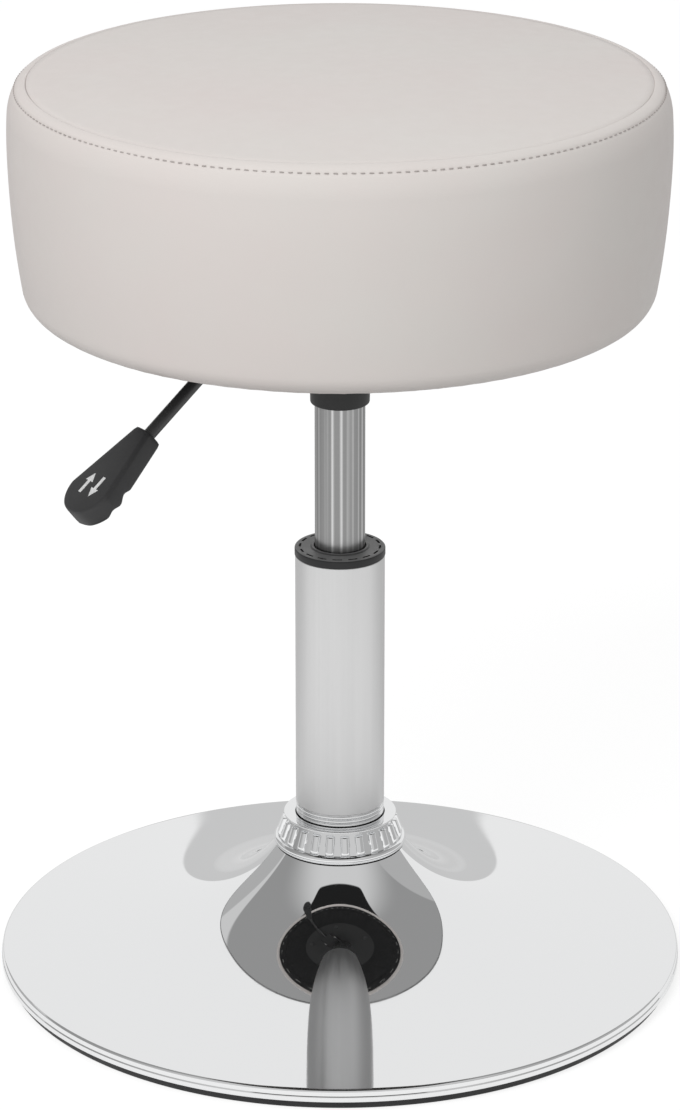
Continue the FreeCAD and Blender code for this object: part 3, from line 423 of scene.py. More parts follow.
collar_low, collar_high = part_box("chrome_collar")
band_foot = Vector((COLLAR_FOOT - BAND_SINK, collar_low.z + BEAD_HEIGHT))
band_top = Vector((LIP_RADIUS - LIP_OVERHANG, collar_high.z - LIP_HEIGHT))
band = [band_foot.lerp(band_top, share) for share in shares(BAND_STEPS)]
bead = rounded([
    (band_top.x - COLLAR_WALL, collar_low.z),
    (COLLAR_FOOT, collar_low.z, BEAD_ROUND),
    (COLLAR_FOOT, collar_low.z + BEAD_HEIGHT, BEAD_ROUND),
    (band_foot.x, band_foot.y + HAIR),
], 10)[:-1]
lip = rounded([
    (band_top.x, band_top.y),
    (LIP_RADIUS, band_top.y, LIP_ROUNDS[0]),
    (LIP_RADIUS, collar_high.z, LIP_ROUNDS[1]),
    (COLLAR_BORE, collar_high.z, LIP_ROUNDS[2]),
    (COLLAR_BORE, collar_high.z - COLLAR_WALL),
    (band_top.x - COLLAR_WALL, collar_high.z - COLLAR_WALL),
])[1:]
band_start = len(bead)


def pegged(angle, index, radius, height):
    """Raise the flat-topped pegs from the sunk band out to the line from the bead to the lip."""
    step = index - band_start
    if not 0 <= step <= BAND_STEPS:
        return radius, height
    pitch = 2 * math.pi / PEG_COUNT
    across = abs((angle + pitch / 2) % pitch - pitch / 2) * radius / (PEG_WIDTH / 2)
    under_cap = min(max((band_top.y - PEG_CAP_DROP - height) / PEG_CAP, 0), 1)
    over_foot = min((height - band_foot.y) / (PEG_WIDTH / 2), 1)
    swell = math.sqrt(max(1 - across ** PEG_FULLNESS, 0)) * math.sqrt(1 - (1 - over_foot) ** 2)
    line = PEG_LINE[0] + (PEG_LINE[1] - PEG_LINE[0]) * step / BAND_STEPS
    return radius + (line - radius) * swell * under_cap, height


collar = build("chrome_collar_ring", [revolve(bead + band + lip, PEG_COUNT * SEGMENTS_PER_PEG, pegged)],
               "base", 55)
collar.data.materials.append(chrome("collar_chrome", (0.88, 0.885, 0.89, 1), (0.015, 0.04)))
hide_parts("chrome_collar")

# Column tube
# A welded steel tube with a satin plated finish. Above the collar a short polished neck with three fully
# rounded turned rings shows, and below it the tube tapers into the hub.
TUBE_WALL = 1.5 * MM
NECK_SHOW = 7.2 * MM
NECK_RADIUS = 23.9 * MM
NECK_RINGS = 3
RING_RISE = 0.95 * MM
RING_HEIGHT = 2.1 * MM
RING_GAP = 0.15 * MM
TUBE_EDGE = 0.5 * MM
TUBE_FOOT = 23.5 * MM
TUBE_LIP = 0.7 * MM

tube_low, tube_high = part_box("column_tube")
tube_radius = tube_high.x
neck_top = collar_high.z + NECK_SHOW


def neck_ring(bottom, steps=10):
    """One rounded ring turned on the neck."""
    return [(NECK_RADIUS + RING_RISE * math.sin(math.pi * share),
             bottom + RING_HEIGHT / 2 * (1 - math.cos(math.pi * share))) for share in shares(steps)]


neck_profile = [(TUBE_FOOT - TUBE_WALL, tube_low.z), (TUBE_FOOT, tube_low.z), (NECK_RADIUS, collar_low.z)]
for index in range(NECK_RINGS):
    neck_profile += neck_ring(neck_top - TUBE_LIP - (NECK_RINGS - index) * (RING_HEIGHT + RING_GAP))
neck_profile += [(NECK_RADIUS, neck_top - TUBE_LIP), (NECK_RADIUS - TUBE_WALL, neck_top - TUBE_LIP)]
neck = build("column_neck", [revolve(neck_profile, 192)], "base", 70)
neck.data.materials.append(chrome("neck_chrome", (0.87, 0.875, 0.88, 1), (0.02, 0.05)))
satin_tube = build("column_satin_tube", [revolve(rounded([
    (tube_radius - TUBE_WALL, tube_high.z, TUBE_EDGE),
    (tube_radius - TUBE_WALL, neck_top),
    (NECK_RADIUS - TUBE_WALL, neck_top - TUBE_LIP),
    (NECK_RADIUS, neck_top - TUBE_LIP),
    (tube_radius, neck_top, TUBE_EDGE),
    (tube_radius, tube_high.z, TUBE_EDGE),
], 5), 192)], "base", 40)
satin, tree, surface = new_material("satin_plate", Base_Color=grey(0.71), Metallic=1.0, Anisotropic=0.3)
line_finish(tree, surface, rough=(0.3, 0.4), around=22, along=4, depth=0.03 * MM, strength=0.35)
satin_tube.data.materials.append(satin)
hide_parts("column_tube")

# Guide bush
# A black plastic sleeve pressed into the tube. Its flange covers the tube's end, has a ring of narrow slots,
# and carries a wiper lip that keeps dust off the sliding stem.
SLOT_COUNT = 16
SLOT_SHARE = 0.54
SLOT_INNER = 21.7 * MM
SLOT_OUTER = 22.9 * MM
SLOT_DEPTH = 1.3 * MM
BUSH_BORE = 14.3 * MM
BUSH_EDGE = 0.8 * MM
BUSH_PLAY = 0.1 * MM
WIPER_OUTER = 16.6 * MM
WIPER_RISE = 0.9 * MM
WIPER_DROP = 2.2 * MM
WIPER_LEAN = 0.2 * MM
WIPER_SLOPE = 0.8 * MM
WIPER_ROUND = 0.4 * MM
WIPER_FILLET = 0.3 * MM
SEGMENTS_PER_SLOT = 26
BUSH_BLACK = (0.013, 0.013, 0.014, 1)
# Painted light: the lighter grey given to faces that point up, for the light falling on the flange's top
BUSH_PAINTED_TOP_LIGHT = grey(0.19)

bush_low, bush_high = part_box("guide_bush")
bush_radius = bush_high.x
flange_top = bush_high.z
sleeve_radius = tube_radius - TUBE_WALL - BUSH_PLAY
bush_profile = rounded([
    (BUSH_BORE, flange_top - WIPER_DROP),
    (BUSH_BORE + WIPER_LEAN, flange_top + WIPER_RISE, WIPER_ROUND),
    (WIPER_OUTER - WIPER_SLOPE, flange_top + WIPER_RISE, WIPER_ROUND),
    (WIPER_OUTER, flange_top, WIPER_FILLET),
    (SLOT_INNER, flange_top),
    (SLOT_INNER + 2 * HAIR, flange_top),
    (SLOT_OUTER - 2 * HAIR, flange_top),
    (SLOT_OUTER, flange_top),
    (bush_radius, flange_top, BUSH_EDGE),
    (bush_radius, tube_high.z, BUSH_EDGE / 2),
    (sleeve_radius, tube_high.z),
    (sleeve_radius, bush_low.z, BUSH_EDGE),
    (BUSH_BORE, bush_low.z, BUSH_EDGE),
], 5)


def slotted(angle, index, radius, height):
    """Sink the slots into the flange's top."""
    turn = angle / (2 * math.pi) * SLOT_COUNT % 1
    between = SLOT_INNER + HAIR < radius < SLOT_OUTER - HAIR and height > flange_top - HAIR
    return radius, height - (SLOT_DEPTH if between and turn < SLOT_SHARE else 0)


def shade_by(tree, surface, value, dark, light, dark_at=0.0, light_at=1.0):
    """Colour a surface by a value, on a ramp from a dark to a light shade."""
    ramp = add_node(tree, "ValToRGB", Fac=value)
    for stop, colour, place in zip(ramp.color_ramp.elements, (dark, light), (dark_at, light_at)):
        stop.color = colour
        stop.position = place
    tree.links.new(ramp.outputs["Color"], surface["Base Color"])


bush = build("guide_bush_moulding", [revolve(bush_profile, SLOT_COUNT * SEGMENTS_PER_SLOT, slotted)],
             "base", 35)
bush_plastic = moulded_plastic("bush_plastic", BUSH_BLACK, (0.36, 0.48), 1100, 0.04 * MM)
tree = bush_plastic.node_tree
# Painted light: faces that point up are coloured lighter than the black sides, for the light falling from
# above
painted_light_facing = add_node(tree, "SeparateXYZ", Vector=feed(tree, "NewGeometry", "Normal")).outputs
shade_by(tree, tree.nodes["Principled BSDF"].inputs, painted_light_facing["Z"], BUSH_BLACK, BUSH_PAINTED_TOP_LIGHT,
         dark_at=0.6, light_at=0.95)
bush.data.materials.append(bush_plastic)
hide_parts("guide_bush")

# Gas spring stem
# The pressure tube of the gas spring: drawn steel, ground round and brushed, with painted highlights: a few
# brighter lengthwise streaks in its colour stand in for reflected lamps. Its lower end slides in the bush and
# its upper end is a taper held in the seat's socket.
STEM_LIP_RADIUS = 9.0 * MM
STEM_WALL = 2.0 * MM
STEM_TAPER = 36.0 * MM
STEM_TOP_RADIUS = 13.4 * MM
STEM_FOOT_ROUND = 1.5 * MM
STEM_TOP_ROUND = 0.6 * MM

stem_low, stem_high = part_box("gas_cylinder")
stem_radius = stem_high.x
stem = build("brushed_stem", [revolve(rounded([
    (STEM_LIP_RADIUS, stem_low.z),
    (stem_radius, stem_low.z, STEM_FOOT_ROUND),
    (stem_radius, stem_high.z - STEM_TAPER),
    (STEM_TOP_RADIUS, stem_high.z, STEM_TOP_ROUND),
    (stem_radius - STEM_WALL, stem_high.z),
    (stem_radius - STEM_WALL, stem_low.z + STEM_WALL),
    (STEM_LIP_RADIUS, stem_low.z + STEM_WALL),
], 5), 128)], "seat", 40)
brushed, tree, surface = new_material("brushed_steel", Metallic=1.0, Anisotropic=0.5)
# Painted highlights: lighter lengthwise streaks in the base colour stand in for reflections of lamps
painted_streak_highlights = place_group(tree, turn_marks_and_painted_streaks, Around=5.2, Along=0.4, Fineness=0.6)
shade_by(tree, surface, painted_streak_highlights, grey(0.3), grey(0.7), dark_at=0.5, light_at=0.72)
line_finish(tree, surface, rough=(0.28, 0.38), around=3, along=2600, depth=0.02 * MM, strength=0.4)
stem.data.materials.append(brushed)
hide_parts("gas_cylinder")

# Inner works
# What the column, the stem and the hub hold inside: bearing, rod, piston, seals and valve. They keep their
# built shapes and get plain workshop finishes.
INNER_FINISHES = (
    (zinc, "base_hub column_floor rod_clip clip_washer seat_t_nuts lever_pivot_pin pivot_clip"),
    (bright_steel("ground_steel", grey(0.6), (0.12, 0.22), 4, 2600),
     "piston_rod bearing_lower_race bearing_upper_race bearing_balls"),
    (moulded_plastic("inner_nylon", (0.62, 0.6, 0.54, 1), (0.4, 0.55)),
     "bearing_cage rod_guide piston lever_bush"),
    (bright_steel("valve_alloy", (0.7, 0.7, 0.71, 1), (0.25, 0.35), 4, 1500), "valve_body valve_pin"),
    (moulded_plastic("seal_rubber", grey(0.014), (0.6, 0.8), 900),
     "rubber_damper rod_seal valve_seals piston_ring"),
)
for finish, node_names in INNER_FINISHES:
    for node_name in node_names.split():
        repaint(node_name, finish)

# Taper socket
# A short steel socket, painted black, that the stem's taper is driven into. It is welded under the
# lever housing.
SOCKET_EDGE = 1.2 * MM
SOCKET_DRAFT = 0.6 * MM
SOCKET_PLAY = 0.1 * MM

socket_low, socket_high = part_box("seat_socket")
socket_radius = socket_high.x
socket_bore = stem_radius + SOCKET_PLAY
socket = build("seat_taper_socket", [revolve(rounded([
    (socket_bore, socket_low.z, SOCKET_EDGE / 4),
    (socket_radius - SOCKET_DRAFT, socket_low.z, SOCKET_EDGE),
    (socket_radius, socket_high.z, SOCKET_EDGE / 3),
    (socket_bore, socket_high.z),
]), 128)], "seat", 40)
socket.data.materials.append(black_paint("socket_paint", (0.42, 0.55), 0.012))
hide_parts("seat_socket")

# Lever housing
# A channel folded from black painted sheet, welded between the socket and the seat plate. The lever turns
# on a pin through its two cheeks.
HOUSING_WALL = 2.5 * MM
HOUSING_BEND = 3.5 * MM
STEM_HOLE = 14.3 * MM

housing_low, housing_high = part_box("lever_housing")


def channel(half_width, bottom, bend, steps=6):
    """Half of a folded channel's section, as (across, up) points from its middle to its top edge."""
    turns = [math.pi / 2 * share for share in shares(steps)]
    corner = [(half_width - bend + bend * math.sin(turn), bottom + bend - bend * math.cos(turn))
              for turn in turns]
    return [(STEM_HOLE, bottom)] + corner + [(half_width, housing_high.z)]


def loft(rows):
    """Shell through rows of points that go round the same way, closed at both ends."""
    vertices = [point for row in rows for point in row]
    count = len(rows[0])
    faces = []
    for start in range(0, len(vertices) - count, count):
        for side in range(count):
            after = (side + 1) % count
            faces.append([start + side, start + after, start + count + after, start + count + side])
    return vertices, faces + [list(range(count)), list(range(len(vertices) - count, len(vertices)))]


def cheek(side):
    """One half of the channel: the web beside the stem's hole, the fold and the cheek."""
    outer = channel(housing_high.y, housing_low.z, HOUSING_BEND)
    inner = channel(housing_high.y - HOUSING_WALL, housing_low.z + HOUSING_WALL, HOUSING_BEND - HOUSING_WALL)
    section = outer + inner[::-1]
    vertices, faces = loft([[Vector((end, side * across, up)) for across, up in section]
                            for end in (housing_low.x, housing_high.x)])
    last = len(section) - 1
    ends = [[start + step, start + step + 1, start + last - 1 - step, start + last - step]
            for start in (0, last + 1) for step in range(len(outer) - 1)]
    return vertices, faces[:-2] + ends


def web(near, far):
    """Flat piece of the channel's web before or behind the stem's hole."""
    low, high = housing_low.z, housing_low.z + HOUSING_WALL
    section = [(-STEM_HOLE, low), (STEM_HOLE, low), (STEM_HOLE, high), (-STEM_HOLE, high)]
    return loft([[Vector((end, across, up)) for across, up in section] for end in (near, far)])


housing = build("lever_channel", [cheek(1), cheek(-1), web(housing_low.x, -STEM_HOLE),
                                  web(STEM_HOLE, housing_high.x)], "seat", 40)
housing.data.materials.append(black_paint("channel_paint", (0.4, 0.55)))
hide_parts("lever_housing")

# Seat plate with its bolts and washers
# A round black painted plate under the board. Four hexagon bolts with washers draw it up into the board's
# threaded inserts.
BOLT_COUNT = 4
BOLT_CIRCLE = 72.0 * MM
BOLT_FIRST = math.radians(45)
BOLT_RADIUS = 3.0 * MM
BOLT_HEAD = 4.0 * MM
BOLT_HALF = 4.5 * MM
WASHER_RADIUS = 7.0 * MM
WASHER_HOLE = 3.25 * MM
WASHER_EDGE = 0.4 * MM
BOLT_DISH = 0.2 * MM
BOLT_CHAMFER = 0.5 * MM
BOLT_DISH_SHARE = 0.55
BOLT_FACE_SHARE = 0.94

repaint("seat_plate", plate_paint)
bolt_low, bolt_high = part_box("plate_bolts")
washer_low, washer_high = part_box("plate_washers")
bolt = revolve([
    (0, bolt_low.z + BOLT_DISH),
    (BOLT_HALF * BOLT_DISH_SHARE, bolt_low.z + BOLT_DISH / 2),
    (BOLT_HALF * BOLT_FACE_SHARE, bolt_low.z),
    (BOLT_HALF, bolt_low.z + BOLT_CHAMFER),
    (BOLT_HALF, bolt_low.z + BOLT_HEAD),
    (BOLT_RADIUS, bolt_low.z + BOLT_HEAD),
    (BOLT_RADIUS, bolt_high.z),
    (0, bolt_high.z),
], 36, hexagonal(3, 4), closed=False)
washer = revolve(rounded([
    (WASHER_HOLE, washer_low.z, WASHER_EDGE / 2),
    (WASHER_RADIUS, washer_low.z, WASHER_EDGE),
    (WASHER_RADIUS, washer_high.z),
    (WASHER_HOLE, washer_high.z),
], 3), 36)
bolt_paint = black_paint("bolt_paint", (0.3, 0.42), 0.03)
bolts = build("seat_hex_bolts", ring_of(bolt, BOLT_COUNT, BOLT_CIRCLE, BOLT_FIRST), "seat", 25)
bolts.data.materials.append(bolt_paint)
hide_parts("plate_bolts")
washers = build("seat_washers", ring_of(washer, BOLT_COUNT, BOLT_CIRCLE, BOLT_FIRST), "seat",
                35)
washers.data.materials.append(bolt_paint)
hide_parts("plate_washers")

# Lever bar
# Round steel bar, bent down outside the housing and painted gloss black. Its inner end is forged into an
# eye and a flat tongue that presses the valve pin.
BAR_RADIUS = 3.5 * MM
PIVOT = Vector((30.0 * MM, 0, 380.0 * MM))
BEND_AT = 74.6 * MM
BEND_RADIUS = 22.0 * MM
LEVER_SLOPE = math.radians(38.3)
LEVER_RUN = 64.0 * MM
GRIP_DEPTH = 34.0 * MM
EYE_RADIUS = 6.4 * MM
EYE_HALF = 10.0 * MM
EYE_BORE = 4.15 * MM
TONGUE_END = -6.0 * MM
TONGUE_HALF = 6.0 * MM
TONGUE_RISE = 2.0 * MM
TONGUE_EDGE = 0.6 * MM
BAR_SIDES = 24
BEND_STEPS = 12
EYE_EDGE = 0.5 * MM
BAR_START = 0.6

slope_way = Vector((math.cos(LEVER_SLOPE), 0, -math.sin(LEVER_SLOPE)))
slope_up = Vector((math.sin(LEVER_SLOPE), 0, math.cos(LEVER_SLOPE)))
bend_point = Vector((BEND_AT, 0, PIVOT.z))
bend_leg = BEND_RADIUS * math.tan(LEVER_SLOPE / 2)


def bar_shell():
    """Tube along the bar's straight run, its bend and its lower run."""
    bend_centre = Vector((BEND_AT - bend_leg, 0, PIVOT.z - BEND_RADIUS))
    stations = [(PIVOT + Vector((EYE_RADIUS * BAR_START, 0, 0)), 0.0)]
    for turn in [LEVER_SLOPE * share for share in shares(BEND_STEPS)]:
        stations.append((bend_centre + BEND_RADIUS * Vector((math.sin(turn), 0, math.cos(turn))), turn))
    stations.append((bend_point + slope_way * (LEVER_RUN + GRIP_DEPTH), LEVER_SLOPE))
    rows = []
    for centre, turn in stations:
        up = Vector((math.sin(turn), 0, math.cos(turn)))
        angles = [2 * math.pi * side / BAR_SIDES for side in range(BAR_SIDES)]
        rows.append([centre + BAR_RADIUS * (up * math.cos(angle) + Vector((0, math.sin(angle), 0)))
                     for angle in angles])
    return loft(rows)


def eye_shell():
    """Bored eye lying across the lever."""
    profile = rounded([(EYE_BORE, -EYE_HALF), (EYE_RADIUS, -EYE_HALF, EYE_EDGE),
                       (EYE_RADIUS, EYE_HALF, EYE_EDGE), (EYE_BORE, EYE_HALF)], 3)
    return placed(revolve(profile, 48), Matrix.Translation(PIVOT) @ Matrix.Rotation(math.pi / 2, 4, "X"))


def tongue_shell():
    """Flat tongue from the eye back over the valve pin, with eased edges."""
    rows = []
    ends = ((TONGUE_END, TONGUE_EDGE), (TONGUE_END + TONGUE_EDGE, 0.0), (PIVOT.x - EYE_BORE, 0.0))
    for along, ease in ends:
        half, rise = TONGUE_HALF - ease, TONGUE_RISE - ease
        section = [(-half, rise - TONGUE_EDGE), (-half + TONGUE_EDGE, rise), (half - TONGUE_EDGE, rise),
                   (half, rise - TONGUE_EDGE), (half, TONGUE_EDGE - rise), (half - TONGUE_EDGE, -rise),
                   (TONGUE_EDGE - half, -rise), (-half, TONGUE_EDGE - rise)]
        rows.append([Vector((along, across, PIVOT.z + up)) for across, up in section])
    return loft(rows)


bar = build("lever_bar", [bar_shell(), eye_shell(), tongue_shell()], "lever", 40)
bar.data.materials.append(black_paint("lever_paint", (0.22, 0.32), 0.042))
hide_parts("lever_rod")

# Lever grip
# A black moulded paddle pressed on the bar. It flares from a square neck to a rounded end, has finger
# scallops across its underside, and two plain arrows printed on top.
GRIP_LENGTH = 60.0 * MM
GRIP_STRAIGHT = 44.0 * MM
GRIP_NECK = 13.0 * MM
GRIP_WIDTH = 34.5 * MM
GRIP_THICK = 12.5 * MM
GRIP_EDGE = 2.6 * MM
NECK_EDGE = 1.2 * MM
NECK_EASE = ((0.0, 0.7), (0.3, 0.2))
SCALLOPS = (34.5 * MM, 45.0 * MM)
SCALLOP_WIDTH = 10.5 * MM
SCALLOP_DEPTH = 2.0 * MM
GRIP_STATIONS = 80
CORNER_STEPS = 7
EDGE_SHARE = 0.9
NOSE = GRIP_LENGTH - GRIP_STRAIGHT
NOSE_RADIUS = (GRIP_WIDTH ** 2 / 4 + NOSE ** 2) / (2 * NOSE)

grip_start = bend_point + slope_way * LEVER_RUN


def grip_half_width(along):
    """Half the paddle's width at a distance from its neck."""
    if along < GRIP_STRAIGHT:
        return GRIP_NECK / 2 + (GRIP_WIDTH - GRIP_NECK) / 2 * along / GRIP_STRAIGHT
    past = along - (GRIP_LENGTH - NOSE_RADIUS)
    return math.sqrt(max(NOSE_RADIUS ** 2 - past ** 2, 0))


def grip_underside(along):
    """Height of the underside, raised where a finger scallop is moulded into it."""
    under = -GRIP_THICK / 2
    for middle in SCALLOPS:
        off = abs(along - middle) / SCALLOP_WIDTH
        if off < 0.5:
            under += SCALLOP_DEPTH * (0.5 + 0.5 * math.cos(2 * math.pi * off))
    return under


def grip_section(along, ease):
    """Rounded section of the paddle, drawn in by ease, as points round its outline."""
    half = max(grip_half_width(along) - ease, 2 * HAIR)
    top = GRIP_THICK / 2 - ease
    under = grip_underside(along) + ease
    edge = min(GRIP_EDGE, half * EDGE_SHARE, (top - under) / 2 * EDGE_SHARE)
    points = []
    for quarter, (across, up) in enumerate(((half, top), (-half, top), (-half, under), (half, under))):
        for share in shares(CORNER_STEPS - 1):
            angle = math.pi / 2 * (quarter + share)
            points.append((across - math.copysign(edge, across) + edge * math.cos(angle),
                           up - math.copysign(edge, up - (top + under) / 2) + edge * math.sin(angle)))
    return points


def on_grip(along, across, up):
    """Point of the grip by its distance from the neck, to the side and over the middle."""
    return grip_start + slope_way * along + Vector((0, across, 0)) + slope_up * up


def grip_shell():
    """Paddle lofted through its sections from the neck to the nose."""
    stations = [(NECK_EDGE * along, NECK_EDGE * ease) for along, ease in NECK_EASE]
    for share in shares(GRIP_STATIONS)[1:]:
        along = NECK_EDGE + (GRIP_LENGTH - NECK_EDGE) * math.sin(math.pi / 2 * share)
        left = GRIP_LENGTH - along
        ease = GRIP_EDGE - math.sqrt(max(GRIP_EDGE ** 2 - max(GRIP_EDGE - left, 0) ** 2, 0))
        stations.append((along, ease))
    return loft([[on_grip(along, across, up) for across, up in grip_section(along, ease)]
                 for along, ease in stations])


grip = build("lever_paddle", [grip_shell()], "lever", 45)
grip.data.materials.append(moulded_plastic("grip_plastic", (0.03, 0.03, 0.031, 1), (0.4, 0.52), 1300,
                                           0.03 * MM))
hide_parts("lever_grip")

ARROW_LENGTH = 13.5 * MM
ARROW_HALF = 3.2 * MM
ARROW_SHAFT = 1.15 * MM
ARROW_HEAD = 5.4 * MM
ARROW_AT = 41.0 * MM
ARROW_APART = 4.4 * MM
PRINT_RISE = 0.08 * MM


def arrow_shell(across, way):
    """Thin printed arrow on the paddle's top, pointing out along the lever or back."""
    half = ARROW_LENGTH / 2
    neck_at = half - ARROW_HEAD
    outline = [(half, 0), (neck_at, ARROW_HALF), (neck_at, ARROW_SHAFT), (-half, ARROW_SHAFT),
               (-half, -ARROW_SHAFT), (neck_at, -ARROW_SHAFT), (neck_at, -ARROW_HALF)]
    return loft([[on_grip(ARROW_AT + way * along, across + way * aside, GRIP_THICK / 2 + level)
                  for along, aside in outline] for level in (-PRINT_RISE, PRINT_RISE)])


arrows = build("lever_arrows", [arrow_shell(ARROW_APART, 1), arrow_shell(-ARROW_APART, -1)], "lever",
               20)
print_ink, tree, surface = new_material("print_ink", Roughness=0.55)
vary(tree, surface["Base Color"], 900, 0.55, 0.75)
arrows.data.materials.append(print_ink)

# Seat board
# Round plywood board that the cover is stapled to. Only its edge would show with the cover off.
plywood, tree, surface = new_material("plywood", Roughness=0.7)
layers = texture(tree, "TexWave", "Fac", bands_direction="Z", Scale=160.0, Distortion=2.0, Detail=3.0)
shade_by(tree, surface, layers, (0.32, 0.2, 0.1, 1), (0.55, 0.39, 0.22, 1))
repaint("seat_board", plywood)

# Foam block
# Cut polyurethane foam, glued on the board and wrapped round its edge. The cover hides it.
COVER_SKIN = 1.2 * MM
FOAM_GAP = 0.4 * MM
FOOT_INSET = 19.4 * MM
FOOT_ROLL = (6.6 * MM, 10.5 * MM, 13.2 * MM)
BELLY = (0.0, 88.0 * MM, 516.0 * MM)
SHOULDER = (0.5 * MM, 106.0 * MM, 260.0 * MM)
SHOULDER_ROUND = 21.0 * MM
FOAM_CROWN_INSET = 12.2 * MM
FOAM_CROWN_DROP = 1.0 * MM
FOAM_CROWN_STEPS = 8


def arc(start, end, radius, steps):
    """Points from start to end on an arc that bulges to the right of the way for a positive radius."""
    start, end = Vector(start), Vector(end)
    chord = end - start
    rise = math.sqrt(radius ** 2 - chord.length_squared / 4)
    left = Vector((-chord.y, chord.x)).normalized()
    centre = (start + end) / 2 + left * math.copysign(rise, radius)
    first, last = start - centre, end - centre
    return [centre + abs(radius) * first.slerp(last, share) for share in shares(steps)]


band_low, band_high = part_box("seat_side_band")
panel_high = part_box("seat_top_panel")[1]
foam_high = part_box("seat_foam")[1]
board_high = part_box("seat_board")[1]
seat_radius = band_high.x
seat_bottom = band_low.z


def side_profile(inset, steps=(10, 26, 12)):
    """Side of the seat from its flat underside up to the shoulder, inset by a thickness."""
    points = [Vector((seat_radius - FOOT_INSET, seat_bottom + inset))]
    for (inward, up, radius), count in zip((FOOT_ROLL, BELLY, SHOULDER), steps):
        bend = radius - inset if radius == FOOT_ROLL[2] else radius
        points += arc(points[-1], (seat_radius - inward - inset, seat_bottom + up), bend, count)[1:]
    return points


foam_inset = COVER_SKIN + FOAM_GAP
foam_edge = (seat_radius - FOAM_CROWN_INSET, band_high.z - foam_inset - FOAM_CROWN_DROP)
foam_crown = foam_high.z - foam_edge[1]
foam_profile = [(0, board_high.z), (board_high.x + FOAM_GAP, board_high.z),
                (board_high.x + FOAM_GAP, seat_bottom + foam_inset)]
foam_profile += side_profile(foam_inset, (6, 12, 6))
foam_profile += arc(foam_profile[-1], foam_edge, SHOULDER_ROUND, 8)[1:]
for turn in [math.pi / 2 * share for share in shares(FOAM_CROWN_STEPS)[1:-1]]:
    foam_profile.append((foam_edge[0] * math.cos(turn), foam_edge[1] + foam_crown * math.sin(turn)))
foam_profile.append((0, foam_high.z))
foam = build("seat_foam_block", [revolve(foam_profile, 96, closed=False)], "seat", 40)
foam_cells, tree, surface = new_material("foam_cells", Base_Color=(0.75, 0.66, 0.42, 1), Roughness=0.95)
bump(tree, surface, place_group(tree, pits, Scale=900), 0.4 * MM, 0.8)
foam.data.materials.append(foam_cells)
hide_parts("seat_foam")

# Seat cover
# Pale grey-beige faux leather in two pieces: a crowned top panel sewn to a side band. The seam's turned
# edges make a narrow roll with a row of top-stitching below it, and the band is stapled under the board.
STITCH_COUNT = 242
STITCH_LENGTH = 2.4 * MM
STITCH_RADIUS = 0.36 * MM
STITCH_DIP = 0.5 * MM
STITCH_SPREAD = 1.0 * MM
CREASE_DIP = 0.45 * MM
CREASE_HALF = 0.3 * MM
TOP_SHOULDER = 33.0 * MM
ROLL_RADIUS = 8.0 * MM
HEM_WIDTH = 13.0 * MM
GATHERS = 84
GATHER_DEPTH = 0.5 * MM
GATHER_RISE = 3.0 * MM
CROWN_POWER = 2.2
COVER_SEGMENTS = 2 * STITCH_COUNT
STITCH_AT = (4.4 * MM, 120.4 * MM)
STITCH_TILT = math.radians(31)
STITCH_LEAN = math.radians(4)
THREAD_PROUD = 0.1 * MM
CREASE_AT = (11.0 * MM, 123.7 * MM)
SLACK = 0.25 * MM
SLACK_SCALE = 24
SWELL = 0.3 * MM
SWELL_SCALE = 18
SWELL_MIDDLE = 20.0 * MM
SWELL_EDGE = 15.0 * MM
PUCKER = 0.25
PANEL_STEPS = 44
PANEL_UNDER_STEPS = 10

random.seed(11)
gather_sway = [random.uniform(0.4, 1.0) for _ in range(GATHERS)]
hem_inner = seat_radius - FOOT_INSET - HEM_WIDTH
stitch_line = Vector((seat_radius - STITCH_AT[0], seat_bottom + STITCH_AT[1]))
crease = Vector((seat_radius - CREASE_AT[0], seat_bottom + CREASE_AT[1]))
stitch_out = Vector((math.cos(STITCH_TILT), math.sin(STITCH_TILT)))
outside = [Vector((hem_inner + HEM_WIDTH * share, seat_bottom)) for share in (0, 0.35, 0.7)]
outside += side_profile(0)
outside += arc(outside[-1], stitch_line, TOP_SHOULDER, 30)[1:]
outside += arc(stitch_line, crease + Vector((CREASE_HALF, 0)), ROLL_RADIUS, 16)[1:]
outside.append(crease - Vector((0, CREASE_DIP)))
inside = side_profile(COVER_SKIN, (5, 8, 6))
inside += arc(inside[-1], crease - Vector((0.1 * MM, CREASE_DIP + COVER_SKIN)), SHOULDER_ROUND, 8)[1:]
inside = [Vector((hem_inner, seat_bottom + COVER_SKIN))] + inside


def band_shape(angle, index, radius, height):
    """Ease the band: dips at the stitches, slack between them, and gathers under the foot."""
    if index >= len(outside):
        return radius, height
    around = Vector((radius * math.cos(angle), radius * math.sin(angle), height))
    slack = SLACK * noise.noise(around * SLACK_SCALE)
    off = (Vector((radius, height)) - stitch_line).length
    pucker = 1 - PUCKER + PUCKER * math.cos(STITCH_COUNT * angle)
    dip = STITCH_DIP * pucker * math.exp(-(off / STITCH_SPREAD) ** 2)
    low = max(1 - (height - seat_bottom) / GATHER_RISE, 0)
    turn = angle / (2 * math.pi) * GATHERS
    fold = abs(math.sin(math.pi * turn)) * gather_sway[int(turn) % GATHERS]
    return radius + slack - dip * stitch_out.x, height - dip * stitch_out.y + GATHER_DEPTH * fold * low ** 2


side_band = build("seat_side_cover", [revolve(outside + inside[::-1], COVER_SEGMENTS, band_shape)], "seat",
                  60)
crown_foot = crease - Vector((CREASE_HALF, 0))
crown_rise = panel_high.z - crown_foot.y


def crown(share, depth=0.0):
    """Point of the top panel's crown at a share of its radius."""
    return Vector((crown_foot.x * share, panel_high.z - crown_rise * share ** CROWN_POWER - depth))


